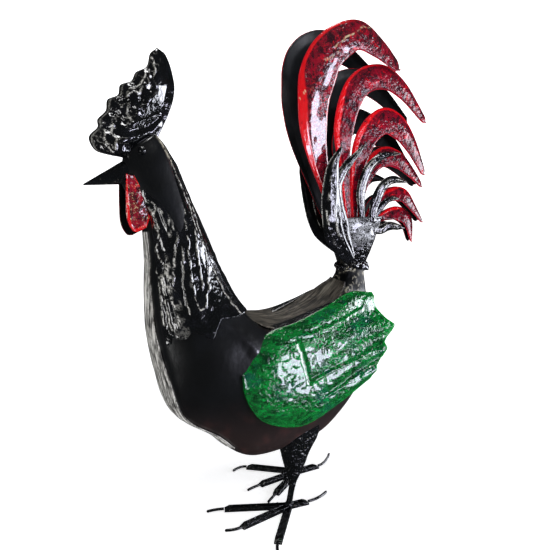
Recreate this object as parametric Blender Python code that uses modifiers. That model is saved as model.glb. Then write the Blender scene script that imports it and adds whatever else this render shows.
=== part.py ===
"""Metal rooster sculpture: a yard rooster welded from painted drum sheet.

Metres, +Z up. The rooster looks along -X and its left side is -Y. The figure's own outlines are
written in percent of its height, on its side plane, and sheet, rod and gap sizes in metres.
The whole figure hangs on one empty, which sets the origin under the middle of its box.
"""
import math

import bmesh
import bpy
import numpy as np
from mathutils import Matrix, Vector

# Driving sizes, in metres: the figure's height and the stock that it is made from
HEIGHT = 0.760              # floor to the top of the tail
SHEET = 0.0016              # drum sheet with its paint
GAP = 0.0003                # left between pieces that touch
SHANK_DIAMETER = 0.010      # leg rod
CLAW_WIRE = 0.0045
EYE_DIAMETER = 0.012        # domed rivet
TOE_WIDTH = 0.012           # folded strip
TOE_HEIGHT = 0.0065
TOE_WALL = 0.0022
COMB_RIM = 0.004            # two sheets welded edge to edge
CAPE_CLEARANCE = 0.0006
CAPE_FLARE = 0.0012         # further lift of the cape's ragged edge
CAPE_PLEAT = 0.0016         # height of the cape's long feather ridges
WING_RIDGE = 0.0025
INNER_LAYER = 0.0028        # innermost sickle from the middle plane

# The figure's proportions across its body, in percent of its height
BEAK_DIAMETER = 3.8
BEAK_ROOT_DEPTH = 1.6       # how far the beak's cone runs into the head before it is trimmed
COMB_SWELL = 3.7            # thickness of the comb's middle above its rim
WATTLE_SPREAD = 5.8         # between the two wattles where they hang from the head
WATTLE_TOE_IN = 1.1         # how much nearer to each other they are at the bottom
WATTLE_DISH = 0.5
WATTLE_DROP = {-1: 0.0, 1: 1.3}     # the right wattle hangs lower
WING_PLANE = 11.3           # wing rim from the body's middle plane
WING_DOME = 1.6
WING_LEAN = 2.1             # the upper edge lies this much nearer to the body
WING_REAR_LEAN = 3.7        # and its rear end this much more
WING_DROP = {-1: 0.0, 1: 1.6}       # the right wing is welded on a little lower
WING_TURN_IN = 2.6          # depth of the rim that is turned in at the shoulder
SOCKET_DEPTH = 7.4          # at the mouth
SOCKET_WAIST_DEPTH = 3.7
TAIL_SPLAY = 5.5            # how far each tail fan curves out, from socket to top
FEATHER_LAYERS = 7          # sheets side by side in each half of the socket
FEATHER_DISH = 0.07         # a feather's bulge over its width
FRONT_FOLD = 0.10           # a wide feather's front edge bends inwards by this share of its width

# Legs, in percent of the height
FOOT_SPREAD = 12.9          # between the middles of the feet, across the body
STRIDE = 8.4                # the right foot stands this far behind the left one
ANKLE_HEIGHT = 5.3          # where the rod ends in the thigh
SHANK_LEAN = 0.8            # the rod's top stands this far behind the middle of the foot
THIGH_TOP = {-1: (-0.7, -4.7, 20.2), 1: (3.3, 4.5, 20.2)}
THIGH_TOP_LENGTH = 13.4
THIGH_TOP_WIDTH = 7.0

# Mesh fineness
BODY_STATIONS_PER_ROW = 2
BACK_STEPS = 4
SIDE_STEPS = 7
FRONT_STEPS = 3
CAPE_STATIONS = 7
WING_STATIONS = 9
FEATHER_STATIONS = 4        # on the shortest feather, and one more for each station length
FEATHER_STATION = 0.050
FEATHER_STEP = 0.017       # about the width of one facet across a feather

# One row for each section of the body, from crown to waist, in percent of the height: back point
# x z, front point x z, half widths of back and front plates, side swell, swell of back and front
BODY_ROWS = (
    (-28.6, 78.1, -35.0, 74.3, 1.1, 0.9, 1.3, 0.4, 0.3),
    (-26.8, 75.7, -35.6, 70.2, 1.6, 1.2, 2.2, 0.5, 0.3),
    (-25.2, 72.2, -34.4, 66.9, 1.6, 1.2, 2.8, 0.6, 0.3),
    (-23.0, 66.4, -32.2, 63.4, 1.7, 1.3, 3.3, 0.6, 0.4),
    (-19.9, 59.4, -31.6, 56.4, 2.0, 1.7, 3.8, 0.6, 0.5),
    (-17.4, 52.6, -31.8, 48.1, 2.6, 2.4, 4.1, 0.5, 0.7),
    (-14.8, 46.4, -31.6, 40.6, 4.5, 3.6, 3.8, 0.3, 0.8),
    (-11.3, 41.2, -30.1, 32.1, 7.1, 5.3, 3.4, -0.4, 1.0),
    (-6.7, 39.8, -27.4, 23.9, 7.9, 6.3, 3.2, -0.6, 1.0),
    (-2.9, 39.6, -20.4, 18.4, 8.2, 6.6, 3.4, -0.6, 1.2),
    (0.4, 40.2, -13.6, 12.7, 8.0, 6.3, 3.7, -0.6, 1.3),
    (2.9, 41.0, -5.2, 12.2, 7.5, 5.8, 3.6, -0.6, 1.3),
    (5.2, 42.1, 3.0, 13.8, 6.6, 5.3, 3.2, -0.5, 1.2),
    (7.2, 43.4, 9.4, 18.1, 5.5, 4.7, 2.6, -0.4, 1.0),
    (8.9, 45.1, 14.5, 23.8, 4.5, 3.9, 2.1, -0.3, 0.8),
    (10.2, 46.5, 17.4, 30.9, 3.4, 3.2, 1.6, -0.1, 0.5),
    (10.9, 48.0, 17.4, 39.1, 2.5, 2.4, 1.0, 0.0, 0.4),
    (11.4, 50.0, 16.2, 49.2, 2.0, 1.8, 0.5, 0.1, 0.1),
)
SIDE_ROUNDNESS = 0.6        # 0.5 makes the sides elliptical, 1 a plain arc
BREAST_ROWS = (3.5, 9.5)    # where the breast plate starts and ends, counted in body rows
SADDLE_ROWS = (7.0, 15.5)
CAPE_TOP_ROWS = (1.9, 3.7, 1.0)   # upper edge at the throat, on the side and on the back
CAPE_HEM_ROWS = (6.0, 6.5, 6.5)   # hem at the throat, on the side and on the back
CAPE_OPENING = 0.06         # share of each side left open at the throat
CAPE_JAG = 0.28             # depth of the hem's points, in rows

# Side outlines in percent of the height
COMB_FRONT = ((-39.9, 75.3), (-41.0, 77.5), (-39.4, 79.9), (-38.1, 82.7), (-35.6, 85.5), (-33.2, 87.7),
              (-31.2, 89.4), (-30.0, 90.5), (-29.2, 92.6), (-28.2, 93.4))
COMB_BACK = ((-35.2, 73.9), (-32.2, 74.3), (-29.4, 75.9), (-27.8, 78.7), (-26.4, 81.7), (-25.2, 84.5),
             (-25.0, 87.1), (-25.6, 89.9), (-26.7, 92.3), (-27.8, 93.4))
BEAK_TIP = (-42.4, 69.2)
BEAK_ROOT = (-35.7, 70.9)
EYE_PLACE = (-32.1, 75.2)
WATTLE_FRONT = ((-35.3, 71.1), (-35.5, 66.5), (-35.4, 62.9), (-34.4, 60.8), (-33.3, 60.5))
WATTLE_BACK = ((-33.8, 70.7), (-32.3, 68.2), (-31.0, 66.1), (-30.8, 63.9), (-31.8, 61.2))
WING_LOW = ((-16.2, 32.5), (-15.7, 28.4), (-13.2, 23.8), (-8.6, 21.2), (-2.6, 20.6), (4.6, 23.7),
            (12.3, 28.1))
WING_HIGH = ((-16.2, 33.0), (-15.0, 35.2), (-12.5, 38.4), (-8.9, 40.4), (-3.5, 41.4), (3.5, 43.7),
             (9.6, 45.9), (15.9, 45.1))
# Scalloped rear edge of the wing: share of the way from low to high, and reach past the end
WING_REACH = ((0.0, 0.0), (0.11, 1.2), (0.16, 1.0), (0.25, 2.6), (0.35, 3.3), (0.41, 2.7), (0.52, 4.5),
              (0.61, 5.1), (0.69, 3.0), (0.8, 1.1), (0.9, 0.0), (0.96, 0.3), (1.0, 0.0))
WING_TIPS = (0.11, 0.35, 0.61, 0.96)     # where the long wing feathers' ridges run
WING_RIB_START = 0.45       # share of the wing's length where they start
WING_RIM_FADE = (0.45, 0.8)         # over this stretch the turned-in rim runs out
SOCKET_WAIST = (14.0, 50.1)
SOCKET_MOUTH = (14.3, 60.9)
SOCKET_WAIST_LENGTH = 6.0
SOCKET_MOUTH_LENGTH = 12.2

# Sickle feathers, the long red ones: centre line, width, where along it the bulge starts, and how
# far forward of it the right one of the pair lies, low, half way up and at its highest point
SICKLES = (
    (((9.9, 58.4), (6.4, 66.0), (2.8, 76.5), (1.9, 85.5), (3.6, 93.1), (9.3, 96.9), (15.0, 94.9),
      (20.6, 91.2)), 7.4, 0.25, (0.0, -0.4, -0.2)),
    (((12.1, 58.4), (10.5, 69.0), (9.4, 79.7), (11.6, 87.4), (16.9, 89.6), (22.7, 87.0), (29.4, 80.9)),
     5.3, 0.45, (0.0, 0.0, 0.0)),
    (((13.6, 58.4), (13.3, 67.5), (14.9, 76.7), (18.8, 80.8), (23.0, 79.7), (27.0, 75.7), (30.9, 69.7)),
     5.5, 0.45, (0.0, 1.2, 3.6)),
    (((14.9, 58.4), (15.2, 66.0), (17.1, 71.3), (20.4, 73.5), (24.1, 72.8), (27.7, 70.1), (30.8, 67.1)),
     4.2, 0.45, (0.0, 0.0, 0.0)),
    (((15.8, 58.4), (18.6, 62.9), (22.5, 65.1), (26.3, 65.1), (29.3, 62.1), (31.7, 59.1)),
     3.2, 0.45, (0.0, 0.0, 0.0)),
    (((16.8, 58.4), (19.2, 59.5), (22.1, 60.7), (25.3, 61.1), (28.1, 59.3), (29.4, 54.7)),
     3.2, 0.45, (0.0, 0.0, 0.0)),
)
SICKLE_PROFILE = ((0.0, 0.20), (0.2, 0.40), (0.4, 0.80), (0.58, 1.0), (0.7, 0.93), (0.8, 0.74), (0.9, 0.53),
                  (1.0, 0.32))

# Coverts, the short black ones: centre line, width, sheets outside the first sickle, whether it
# lies outside the socket, and how far forward the right one lies, as for the sickles
COVERTS = (
    (((11.4, 51.7), (6.9, 57.6), (5.7, 63.1), (5.5, 68.5), (5.9, 72.5), (7.4, 75.8)), 4.6, 3.6, True,
     (-3.5, -1.2, 1.6)),
    (((12.4, 52.3), (9.6, 58.4), (7.4, 66.3), (8.7, 70.7), (13.8, 76.4)), 2.9, 1.0, True, (0.0, 0.0, 0.0)),
    (((14.6, 60.3), (14.0, 66.5), (15.5, 71.2), (19.0, 73.8), (23.3, 74.2)), 2.3, 1.0, False,
     (0.0, 0.0, 0.0)),
    (((16.7, 59.8), (17.2, 63.7), (18.9, 67.2), (21.4, 68.7), (25.1, 68.1)), 2.5, 2.0, False,
     (0.0, 0.0, 0.0)),
    (((17.4, 60.3), (18.6, 62.3), (20.9, 64.4), (23.7, 64.6)), 1.6, 1.0, False, (0.0, 0.0, 0.0)),
    (((17.2, 57.8), (19.6, 57.9), (22.0, 58.6), (24.2, 58.3), (26.1, 57.9)), 2.1, -1.0, False,
     (0.0, 0.0, 0.0)),
)
COVERT_PROFILE = ((0.0, 0.50), (0.3, 1.0), (0.55, 0.95), (0.8, 0.65), (1.0, 0.12))
COVERT_DISH_START = 0.3

# Toes: direction in degrees from straight ahead, outwards positive, channel length, claw reach from
# the middle of the foot, direction of the claw's tip, height of that tip
LEFT_TOES = ((-20.0, 13.7, 17.5, -18.0, 0.0), (15.0, 12.6, 15.9, 10.0, 0.0),
             (55.0, 13.8, 17.5, 58.0, 0.0), (179.0, 4.5, 10.1, 188.0, 0.5))
RIGHT_TOES = ((37.0, 12.1, 15.1, 27.0, 0.0), (-11.0, 10.5, 14.1, -12.0, 0.0),
              (-39.0, 11.3, 15.1, -39.0, 0.0), (175.0, 5.9, 10.5, 166.0, 1.6))
MIDDLE_TOE = 1
HIND_TOE = 3


def on_figure(points):
    """Turns percent of the height into metres."""
    return np.array(points, float) * HEIGHT / 100.0


def smooth(rows, steps):
    """Values on a curve that runs through the rows, at the given row numbers (Catmull-Rom)."""
    rows = np.atleast_2d(np.asarray(rows, float))
    steps = np.clip(np.asarray(steps, float), 0.0, len(rows) - 1.0)
    start = np.minimum(steps.astype(int), len(rows) - 2)
    part = (steps - start)[..., None]
    padded = np.vstack((2 * rows[0] - rows[1], rows, 2 * rows[-1] - rows[-2]))
    before, first, last, after = (padded[start + shift] for shift in range(4))
    return 0.5 * (2 * first + (last - before) * part
                  + (2 * before - 5 * first + 4 * last - after) * part ** 2
                  + (3 * first - before - 3 * last + after) * part ** 3)


def along(points, shares):
    """Points at the given shares of the length of a smooth curve through the points."""
    fine = smooth(points, np.linspace(0.0, len(points) - 1.0, 200))
    length = np.concatenate(([0.0], np.cumsum(np.linalg.norm(np.diff(fine, axis=0), axis=1))))
    wanted = np.asarray(shares) * length[-1]
    return np.stack([np.interp(wanted, length, fine[:, axis]) for axis in range(fine.shape[1])], axis=-1)


def by_knots(knots, values):
    """Reads a table of (position, value) pairs with straight lines between them."""
    table = np.array(knots)
    return np.interp(values, table[:, 0], table[:, 1])


def ramp(values, low, high):
    """Rises smoothly from 0 at low to 1 at high."""
    part = np.clip((np.asarray(values, float) - low) / (high - low), 0.0, 1.0)
    return part * part * (3.0 - 2.0 * part)


def enamel(name, colour, roughness, metallic=0.0):
    """Gloss paint on sheet steel."""
    material = bpy.data.materials.new(name)
    material.use_nodes = True
    shader = material.node_tree.nodes["Principled BSDF"]
    shader.inputs["Base Color"].default_value = (*colour, 1.0)
    shader.inputs["Roughness"].default_value = roughness
    shader.inputs["Metallic"].default_value = metallic
    return material


def black_paint(name):
    return enamel(name, (0.012, 0.012, 0.014), 0.28)


def red_paint(name):
    return enamel(name, (0.42, 0.012, 0.03), 0.3)


def green_paint(name):
    return enamel(name, (0.01, 0.22, 0.06), 0.3)


def worn_steel(name):
    return enamel(name, (0.30, 0.28, 0.26), 0.42, 0.6)


def add_object(name, mesh, material, where, parent=None):
    item = bpy.data.objects.new(name, mesh)
    mesh.materials.clear()
    mesh.materials.append(material)
    where.objects.link(item)
    if parent is not None:
        item.parent = parent
    return item


def loft(name, rings):
    """Closed mesh through rings of points, an array of stations by points by 3, capped at both ends."""
    rings = np.asarray(rings, float)
    stations, around = rings.shape[:2]
    mesh = bpy.data.meshes.new(name)
    shell = bmesh.new()
    points = [[shell.verts.new(point) for point in ring] for ring in rings]
    for low, high in zip(points[:-1], points[1:]):
        for index in range(around):
            after = (index + 1) % around
            shell.faces.new((low[index], low[after], high[after], high[index]))
    shell.faces.new(points[0][::-1])
    shell.faces.new(points[-1])
    bmesh.ops.remove_doubles(shell, verts=shell.verts, dist=1e-6)
    bmesh.ops.triangulate(shell, faces=shell.faces, quad_method="FIXED", ngon_method="EAR_CLIP")
    bmesh.ops.recalc_face_normals(shell, faces=shell.faces)
    if shell.calc_volume(signed=True) < 0:
        bmesh.ops.reverse_faces(shell, faces=shell.faces)
    shell.to_mesh(mesh)
    shell.free()
    return mesh


def open_surface(name, points, outside):
    """Mesh through a grid of points, with its faces turned to the outside direction."""
    points = np.asarray(points, float)
    stations, across = points.shape[:2]
    mesh = bpy.data.meshes.new(name)
    surface = bmesh.new()
    grid = [[surface.verts.new(point) for point in line] for line in points]
    for low, high in zip(grid[:-1], grid[1:]):
        for index in range(across - 1):
            surface.faces.new((low[index], low[index + 1], high[index + 1], high[index]))
    bmesh.ops.remove_doubles(surface, verts=surface.verts, dist=1e-6)
    surface.normal_update()
    facing = sum((face.normal * face.calc_area() for face in surface.faces), Vector())
    if facing.dot(Vector(outside)) < 0:
        bmesh.ops.reverse_faces(surface, faces=surface.faces)
    surface.to_mesh(mesh)
    surface.free()
    return mesh


def sheet(name, points, outside, material, where, parent, thickness=SHEET):
    """Formed sheet: an open surface with its thickness behind it."""
    item = add_object(name, open_surface(name, points, outside), material, where, parent)
    solid = item.modifiers.new("sheet", "SOLIDIFY")
    solid.thickness = thickness
    solid.offset = -1.0
    solid.use_even_offset = True
    return item


def smooth_shading(mesh, angle=40.0):
    mesh.shade_smooth()
    mesh.set_sharp_from_angle(angle=math.radians(angle))


def cut(item, cutter, solver="EXACT"):
    """Takes the cutter's space out of an object."""
    tool = item.modifiers.new("trim to " + cutter.name, "BOOLEAN")
    tool.operation = "DIFFERENCE"
    tool.solver = solver
    tool.object = cutter


def make_cutter(name, mesh, where, parent):
    cutter = bpy.data.objects.new(name, mesh)
    where.objects.link(cutter)
    cutter.parent = parent
    cutter.hide_render = True
    cutter.display_type = "WIRE"
    return cutter


# Body skin: a point for a row number and a place around the section. Places run 0 to 1 across the
# back plate from right to left, 1 to 2 down the left side, 2 to 3 across the front plate and 3 to
# 4 up the right side
def section_point(row, place):
    values = smooth(on_figure(BODY_ROWS), row)
    back = values[..., 0:2]
    front = values[..., 2:4]
    back_half, front_half, side_swell, back_swell, front_swell = (values[..., 4 + n] for n in range(5))
    depth = front - back
    outwards = depth / np.linalg.norm(depth, axis=-1, keepdims=True)
    edge = np.floor(place).astype(int) % 4
    part = place - np.floor(place)
    down = np.select([edge == 0, edge == 1, edge == 2], [0.0 * part, part, 0.0 * part + 1.0], 1.0 - part)
    belly = side_swell * (4 * down * (1 - down)) ** SIDE_ROUNDNESS
    side = back_half * (1 - down) + front_half * down + belly
    across = np.select([edge == 0, edge == 1, edge == 2],
                       [back_half * (1 - 2 * part), -side, front_half * (2 * part - 1)], side)
    crown = 4 * part * (1 - part)
    swell = np.select([edge == 0, edge == 2], [-back_swell * crown, front_swell * crown], 0.0)
    set_back = np.where(down > 0.5, -front_swell, back_swell) * ramp(np.abs(down - 0.5), 0.0, 0.5)
    flat = back + depth * down[..., None] + outwards * (swell + set_back)[..., None]
    return np.stack((flat[..., 0], across, flat[..., 1]), axis=-1)


def skin(row, place, lift=0.0):
    """Body surface moved outwards by the lift."""
    row, place, lift = np.broadcast_arrays(*(np.asarray(value, float) for value in (row, place, lift)))
    step_row = 0.08
    step_place = 0.05
    last = len(BODY_ROWS) - 1.0
    below = section_point(np.minimum(row + step_row, last), place)
    above = section_point(np.maximum(row - step_row, 0), place)
    around = section_point(row, place + step_place) - section_point(row, place - step_place)
    normal = np.cross(around, below - above)
    normal /= np.linalg.norm(normal, axis=-1, keepdims=True)
    return section_point(row, place) + normal * lift[..., None]


def around_body():
    """Places of the points around one body section."""
    return np.concatenate([edge + np.arange(steps) / steps for edge, steps in
                           enumerate((BACK_STEPS, SIDE_STEPS, FRONT_STEPS, SIDE_STEPS))])


def station_rows(start, end):
    """Rows of the body's sections from a start to an end, both counted in rows."""
    return np.linspace(start, end, round((end - start) * BODY_STATIONS_PER_ROW) + 1)


def body_rings(lift, extra=0.0):
    rows = station_rows(0.0, len(BODY_ROWS) - 1.0)
    rings = skin(rows[:, None], around_body()[None, :], lift)
    if extra:
        crown = rings[0] - rings[1]
        waist = rings[-1] - rings[-2]
        rings[0] += crown / np.linalg.norm(crown, axis=-1, keepdims=True) * extra
        rings[-1] += waist / np.linalg.norm(waist, axis=-1, keepdims=True) * extra
    return rings


def make_body(where, parent):
    mesh = loft("body", body_rings(0.0))
    smooth_shading(mesh)
    return add_object("body", mesh, black_paint("black enamel, body"), where, parent)


def skin_panel(name, rows, first_place, steps, outside, where, parent):
    """Plate on the body, one sheet proud of it. It is made thicker and trimmed by the body."""
    places = first_place + np.arange(steps + 1) / steps
    points = skin(station_rows(*rows)[:, None], places[None, :], GAP + SHEET)
    return sheet(name, points, outside, worn_steel("worn steel, " + name), where, parent, 2 * SHEET)


def make_hackle_cape(where, parent):
    """Neck feathers: a sleeve open at the throat, pleated lengthwise, with a pointed hem."""
    up_side = np.arange(SIDE_STEPS + 1) / SIDE_STEPS
    from_throat = CAPE_OPENING + (1.0 - CAPE_OPENING) * up_side
    back = 1.0 - np.arange(1, BACK_STEPS) / BACK_STEPS
    places = np.concatenate((2.0 - from_throat, back, 3.0 + from_throat[::-1]))
    side_share = np.concatenate((up_side, np.ones(BACK_STEPS - 1), up_side[::-1]))
    tooth = np.arange(len(places)) % 2
    side_knots = (0.0, 0.55, 1.0)
    top = by_knots(tuple(zip(side_knots, CAPE_TOP_ROWS)), side_share)
    hem = by_knots(tuple(zip(side_knots, CAPE_HEM_ROWS)), side_share)
    hem = hem + CAPE_JAG * np.where(tooth, 1.0, -0.4)
    share = np.linspace(0.0, 1.0, CAPE_STATIONS)[:, None]
    rows = top + (hem - top) * share
    lift = CAPE_CLEARANCE + SHEET + CAPE_FLARE * ramp(share, 0.5, 1.0)
    points = skin(rows, places, lift + CAPE_PLEAT * tooth * ramp(share, 0.0, 0.3))
    paint = black_paint("worn black enamel, cape")
    return sheet("hackle_cape", points, (1.0, 0.0, 0.3), paint, where, parent)


def make_comb(where, parent):
    """Puffed comb: two hammered sheets that meet at a rim."""
    shares = np.linspace(0.0, 1.0, 15)
    front = along(on_figure(COMB_FRONT), shares)
    back = along(on_figure(COMB_BACK), shares)
    across = np.linspace(0.0, 1.0, 6)
    flat = front[:, None] + (back - front)[:, None] * across[None, :, None]
    width = np.linalg.norm(back - front, axis=1)[:, None]
    full = np.minimum(1.0, width / width.max() * 1.3)
    half = COMB_RIM / 2 + on_figure(COMB_SWELL) / 2 * full * (4 * across * (1 - across)) ** 0.6
    left = np.stack((flat[..., 0], -half, flat[..., 1]), axis=-1)
    right = np.stack((flat[..., 0], half, flat[..., 1]), axis=-1)
    mesh = loft("comb", np.concatenate((left, right[:, ::-1]), axis=1))
    smooth_shading(mesh)
    return add_object("comb", mesh, black_paint("worn black enamel, comb"), where, parent)


def make_beak(where, parent):
    """Rolled cone, trimmed where it meets the head."""
    tip = on_figure(BEAK_TIP)
    root = on_figure(BEAK_ROOT)
    inwards = (root - tip) / np.linalg.norm(root - tip)
    hidden = on_figure(BEAK_ROOT_DEPTH)
    root = root + inwards * hidden
    length = np.linalg.norm(root - tip)
    radius = on_figure(BEAK_DIAMETER) / 2 * length / (length - hidden)
    mesh = bpy.data.meshes.new("beak")
    shell = bmesh.new()
    bmesh.ops.create_cone(shell, cap_ends=True, segments=16, radius1=radius, radius2=SHEET / 2, depth=length)
    shell.to_mesh(mesh)
    shell.free()
    smooth_shading(mesh)
    beak = add_object("beak", mesh, black_paint("black enamel, beak"), where, parent)
    middle = (root + tip) / 2
    beak.location = (middle[0], 0.0, middle[1])
    beak.rotation_euler = Vector((-inwards[0], 0.0, -inwards[1])).to_track_quat("Z", "Y").to_euler()
    return beak


def make_eye(side, name, where, parent):
    """Domed rivet set in the side of the head."""
    x, z = on_figure(EYE_PLACE)
    mesh = bpy.data.meshes.new(name)
    shell = bmesh.new()
    bmesh.ops.create_uvsphere(shell, u_segments=8, v_segments=6, radius=EYE_DIAMETER / 2)
    shell.to_mesh(mesh)
    shell.free()
    smooth_shading(mesh)
    eye = add_object(name, mesh, black_paint("black enamel, " + name), where, parent)
    eye.location = (x, side * head_half_width(x, z), z)
    return eye


def head_half_width(x, z):
    """Half the width of the head at a place of its side view, from the nearest point of its skin."""
    rows = np.linspace(0.0, 4.0, 81)
    places = np.linspace(1.0, 2.0, 41)
    points = section_point(*np.meshgrid(rows, places, indexing="ij"))
    distance = np.hypot(points[..., 0] - x, points[..., 2] - z)
    return -points[..., 1].flat[np.argmin(distance)]


def make_wattle(side, name, where, parent):
    """Hanging dished sheet, red outside."""
    shares = np.linspace(0.0, 1.0, 9)
    drop = on_figure((0.0, WATTLE_DROP[side]))
    front = along(on_figure(WATTLE_FRONT), shares) - drop
    back = along(on_figure(WATTLE_BACK), shares) - drop
    across = np.linspace(0.0, 1.0, 5)
    flat = front[:, None] + (back - front)[:, None] * across[None, :, None]
    lean = on_figure(WATTLE_SPREAD - WATTLE_TOE_IN * shares) / 2
    fullness = np.sin(math.pi * np.clip(shares, 0.05, 0.95))[:, None]
    bulge = on_figure(WATTLE_DISH) * 4 * across * (1 - across) * fullness
    points = np.stack((flat[..., 0], side * (lean[:, None] + bulge + SHEET), flat[..., 1]), axis=-1)
    return sheet(name, points, (0.0, side, 0.0), red_paint("red enamel, " + name), where, parent)


def make_wing(side, name, where, parent):
    """Domed sheet with feather ridges, a scalloped rear edge and its rim turned in at the shoulder."""
    forward = np.linspace(0.0, 1.0, WING_STATIONS) ** 0.85
    share, reach = np.array(WING_REACH).T
    low = along(on_figure(WING_LOW), forward)
    high = along(on_figure(WING_HIGH), forward)
    flat = low[:, None] + (high - low)[:, None] * share[None, :, None]
    flat[..., 0] += on_figure(reach) * forward[:, None] ** 3
    flat[..., 1] -= on_figure(WING_DROP[side])
    rear = ramp(forward, WING_RIB_START, 1.0)[:, None]
    dome = WING_DOME * (1 - (2 * share - 1) ** 4) * ramp(forward, 0.0, 0.35)[:, None] * (1 - 0.5 * rear)
    ridge = np.cos(math.pi * np.interp(share, (0.0, *WING_TIPS, 1.0), (1, 2, 4, 6, 8, 9)))
    relief = WING_RIDGE * ridge * rear * (1 - (2 * share - 1) ** 6)
    lean = WING_LEAN * share ** 1.5 + WING_REAR_LEAN * share * forward[:, None] ** 2
    across = on_figure(WING_PLANE + dome - lean) + relief
    points = np.stack((flat[..., 0], across, flat[..., 1]), axis=-1)

    # the rim: one more line of points all round the front, below and above, towards the body
    depth = on_figure(WING_TURN_IN) * (1 - ramp(forward, *WING_RIM_FADE)) + SHEET
    turn_in = depth[:, None, None] * np.array((0.0, 1.0, 0.0))
    points = np.concatenate((points[:, :1] - turn_in, points, points[:, -1:] - turn_in), axis=1)
    front = points[:1] - turn_in[:1]
    front[:, 0] += turn_in[0, 0]
    front[:, -1] += turn_in[0, 0]
    points = np.concatenate((front, points))
    points[..., 1] *= side
    return sheet(name, points, (0.0, side, 0.0), green_paint("green enamel, " + name), where, parent)


def socket_ring(centre, length, depth, roundness, lift):
    """Rounded box section of the tail socket at one height."""
    turn = np.linspace(0.0, 2 * math.pi, 20, endpoint=False)
    wide = np.sign(np.cos(turn)) * np.abs(np.cos(turn)) ** (2 / roundness)
    deep = np.sign(np.sin(turn)) * np.abs(np.sin(turn)) ** (2 / roundness)
    x = centre[0] + (length / 2 + lift) * wide
    y = (depth / 2 + lift) * deep
    return np.stack((x, y, np.full_like(turn, centre[1])), axis=-1)


def socket_mesh(name, lift):
    """Flared socket that the tail feathers are welded into, from the waist up to its mouth."""
    waist = on_figure(SOCKET_WAIST) + np.array((0.0, GAP - lift))
    mouth = on_figure(SOCKET_MOUTH) + np.array((0.0, lift))
    rings = []
    for share in np.linspace(0.0, 1.0, 6):
        centre = waist + (mouth - waist) * share
        flare = share ** 0.8
        length = on_figure(SOCKET_WAIST_LENGTH + (SOCKET_MOUTH_LENGTH - SOCKET_WAIST_LENGTH) * flare)
        depth = on_figure(SOCKET_WAIST_DEPTH + (SOCKET_DEPTH - SOCKET_WAIST_DEPTH) * flare)
        rings.append(socket_ring(centre, length, depth, 2.0 + 2.0 * share, lift))
    return loft(name, rings)


def make_socket(where, parent):
    mesh = socket_mesh("tail_socket", 0.0)
    smooth_shading(mesh)
    return add_object("tail_socket", mesh, worn_steel("worn steel, socket"), where, parent)


def fan_lean(height):
    """How far a tail fan stands out from the socket's plane at a height."""
    mouth = on_figure(SOCKET_MOUTH)[1]
    return on_figure(TAIL_SPLAY) * np.maximum(0.0, (height - mouth) / (HEIGHT - mouth)) ** 2


def layer_place(layer):
    """Inner side of a feather layer from the middle plane, counted outwards from 0 for the innermost."""
    room = on_figure(SOCKET_DEPTH) / 2 - INNER_LAYER - SHEET
    return INNER_LAYER + room / FEATHER_LAYERS * layer


def socket_side(height):
    """Half the socket's depth at a height, for the coverts that lie along its outside."""
    waist = on_figure(SOCKET_WAIST)[1]
    mouth = on_figure(SOCKET_MOUTH)[1]
    share = np.clip((height - waist) / (mouth - waist), 0.0, 1.0)
    return on_figure(SOCKET_WAIST_DEPTH + (SOCKET_DEPTH - SOCKET_WAIST_DEPTH) * share ** 0.8) / 2


def arc_length(path):
    fine = smooth(path, np.linspace(0.0, len(path) - 1.0, 200))
    return np.linalg.norm(np.diff(fine, axis=0), axis=1).sum()


def set_forward(path, amounts):
    """Centre line moved towards the head by amounts for its root, half its height and its top."""
    path = np.array(path)
    risen = (path[:, 1] - path[0, 1]) / (path[:, 1].max() - path[0, 1])
    path[:, 0] -= np.interp(risen, (0.0, 0.5, 1.0), amounts)
    return path


def feather_points(side, path, width, profile, base, fold, dish_start):
    """Grid of a feather along a centre line: round tip, dished outwards, its front edge folded in."""
    length = arc_length(path)
    round_start = 1.0 - 0.5 * width * by_knots(profile, 1.0) / length
    stations = FEATHER_STATIONS + round(length / FEATHER_STATION)
    tip = round_start + (1.0 - round_start) * np.array((0.6, 1.0))
    shares = np.concatenate((np.linspace(0.0, round_start, stations), tip))
    centre = along(path, shares)
    ahead = along(path, np.minimum(shares + 0.01, 1.0)) - along(path, np.maximum(shares - 0.01, 0.0))
    ahead /= np.linalg.norm(ahead, axis=1, keepdims=True)
    across = np.stack((-ahead[:, 1], ahead[:, 0]), axis=1)
    past = np.maximum(shares - round_start, 0.0) / (1.0 - round_start)
    half = width / 2 * by_knots(profile, shares) * np.sqrt(np.clip(1.0 - past ** 2, 0.04, 1.0))
    steps = max(2, round(width / FEATHER_STEP))
    spread = np.linspace(-1.0, 1.0, steps + 1)
    flat = centre[:, None] + across[:, None] * (half[:, None] * spread)[..., None]
    section = FEATHER_DISH * (1 - spread ** 2) - fold * ramp(spread, 0.2, 1.0)
    bulge = section * 2 * half[:, None] * ramp(shares, dish_start, dish_start + 0.3)[:, None]
    outer = base(flat[..., 1]) + fan_lean(flat[..., 1]) + bulge + SHEET
    return np.stack((flat[..., 0], side * outer, flat[..., 1]), axis=-1)


def make_sickle(side, name, index, where, parent):
    path, width, dish_start, forward = SICKLES[index]
    if side > 0:
        path = set_forward(path, forward)
    layer = layer_place(len(SICKLES) - 1 - index)
    fold = min(FRONT_FOLD, (layer - SHEET) / on_figure(width))
    points = feather_points(side, on_figure(path), on_figure(width), SICKLE_PROFILE,
                            lambda height: np.full_like(height, layer), fold, dish_start)
    return sheet(name, points, (0.0, side, 0.0), red_paint("red enamel, " + name), where, parent)


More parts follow.
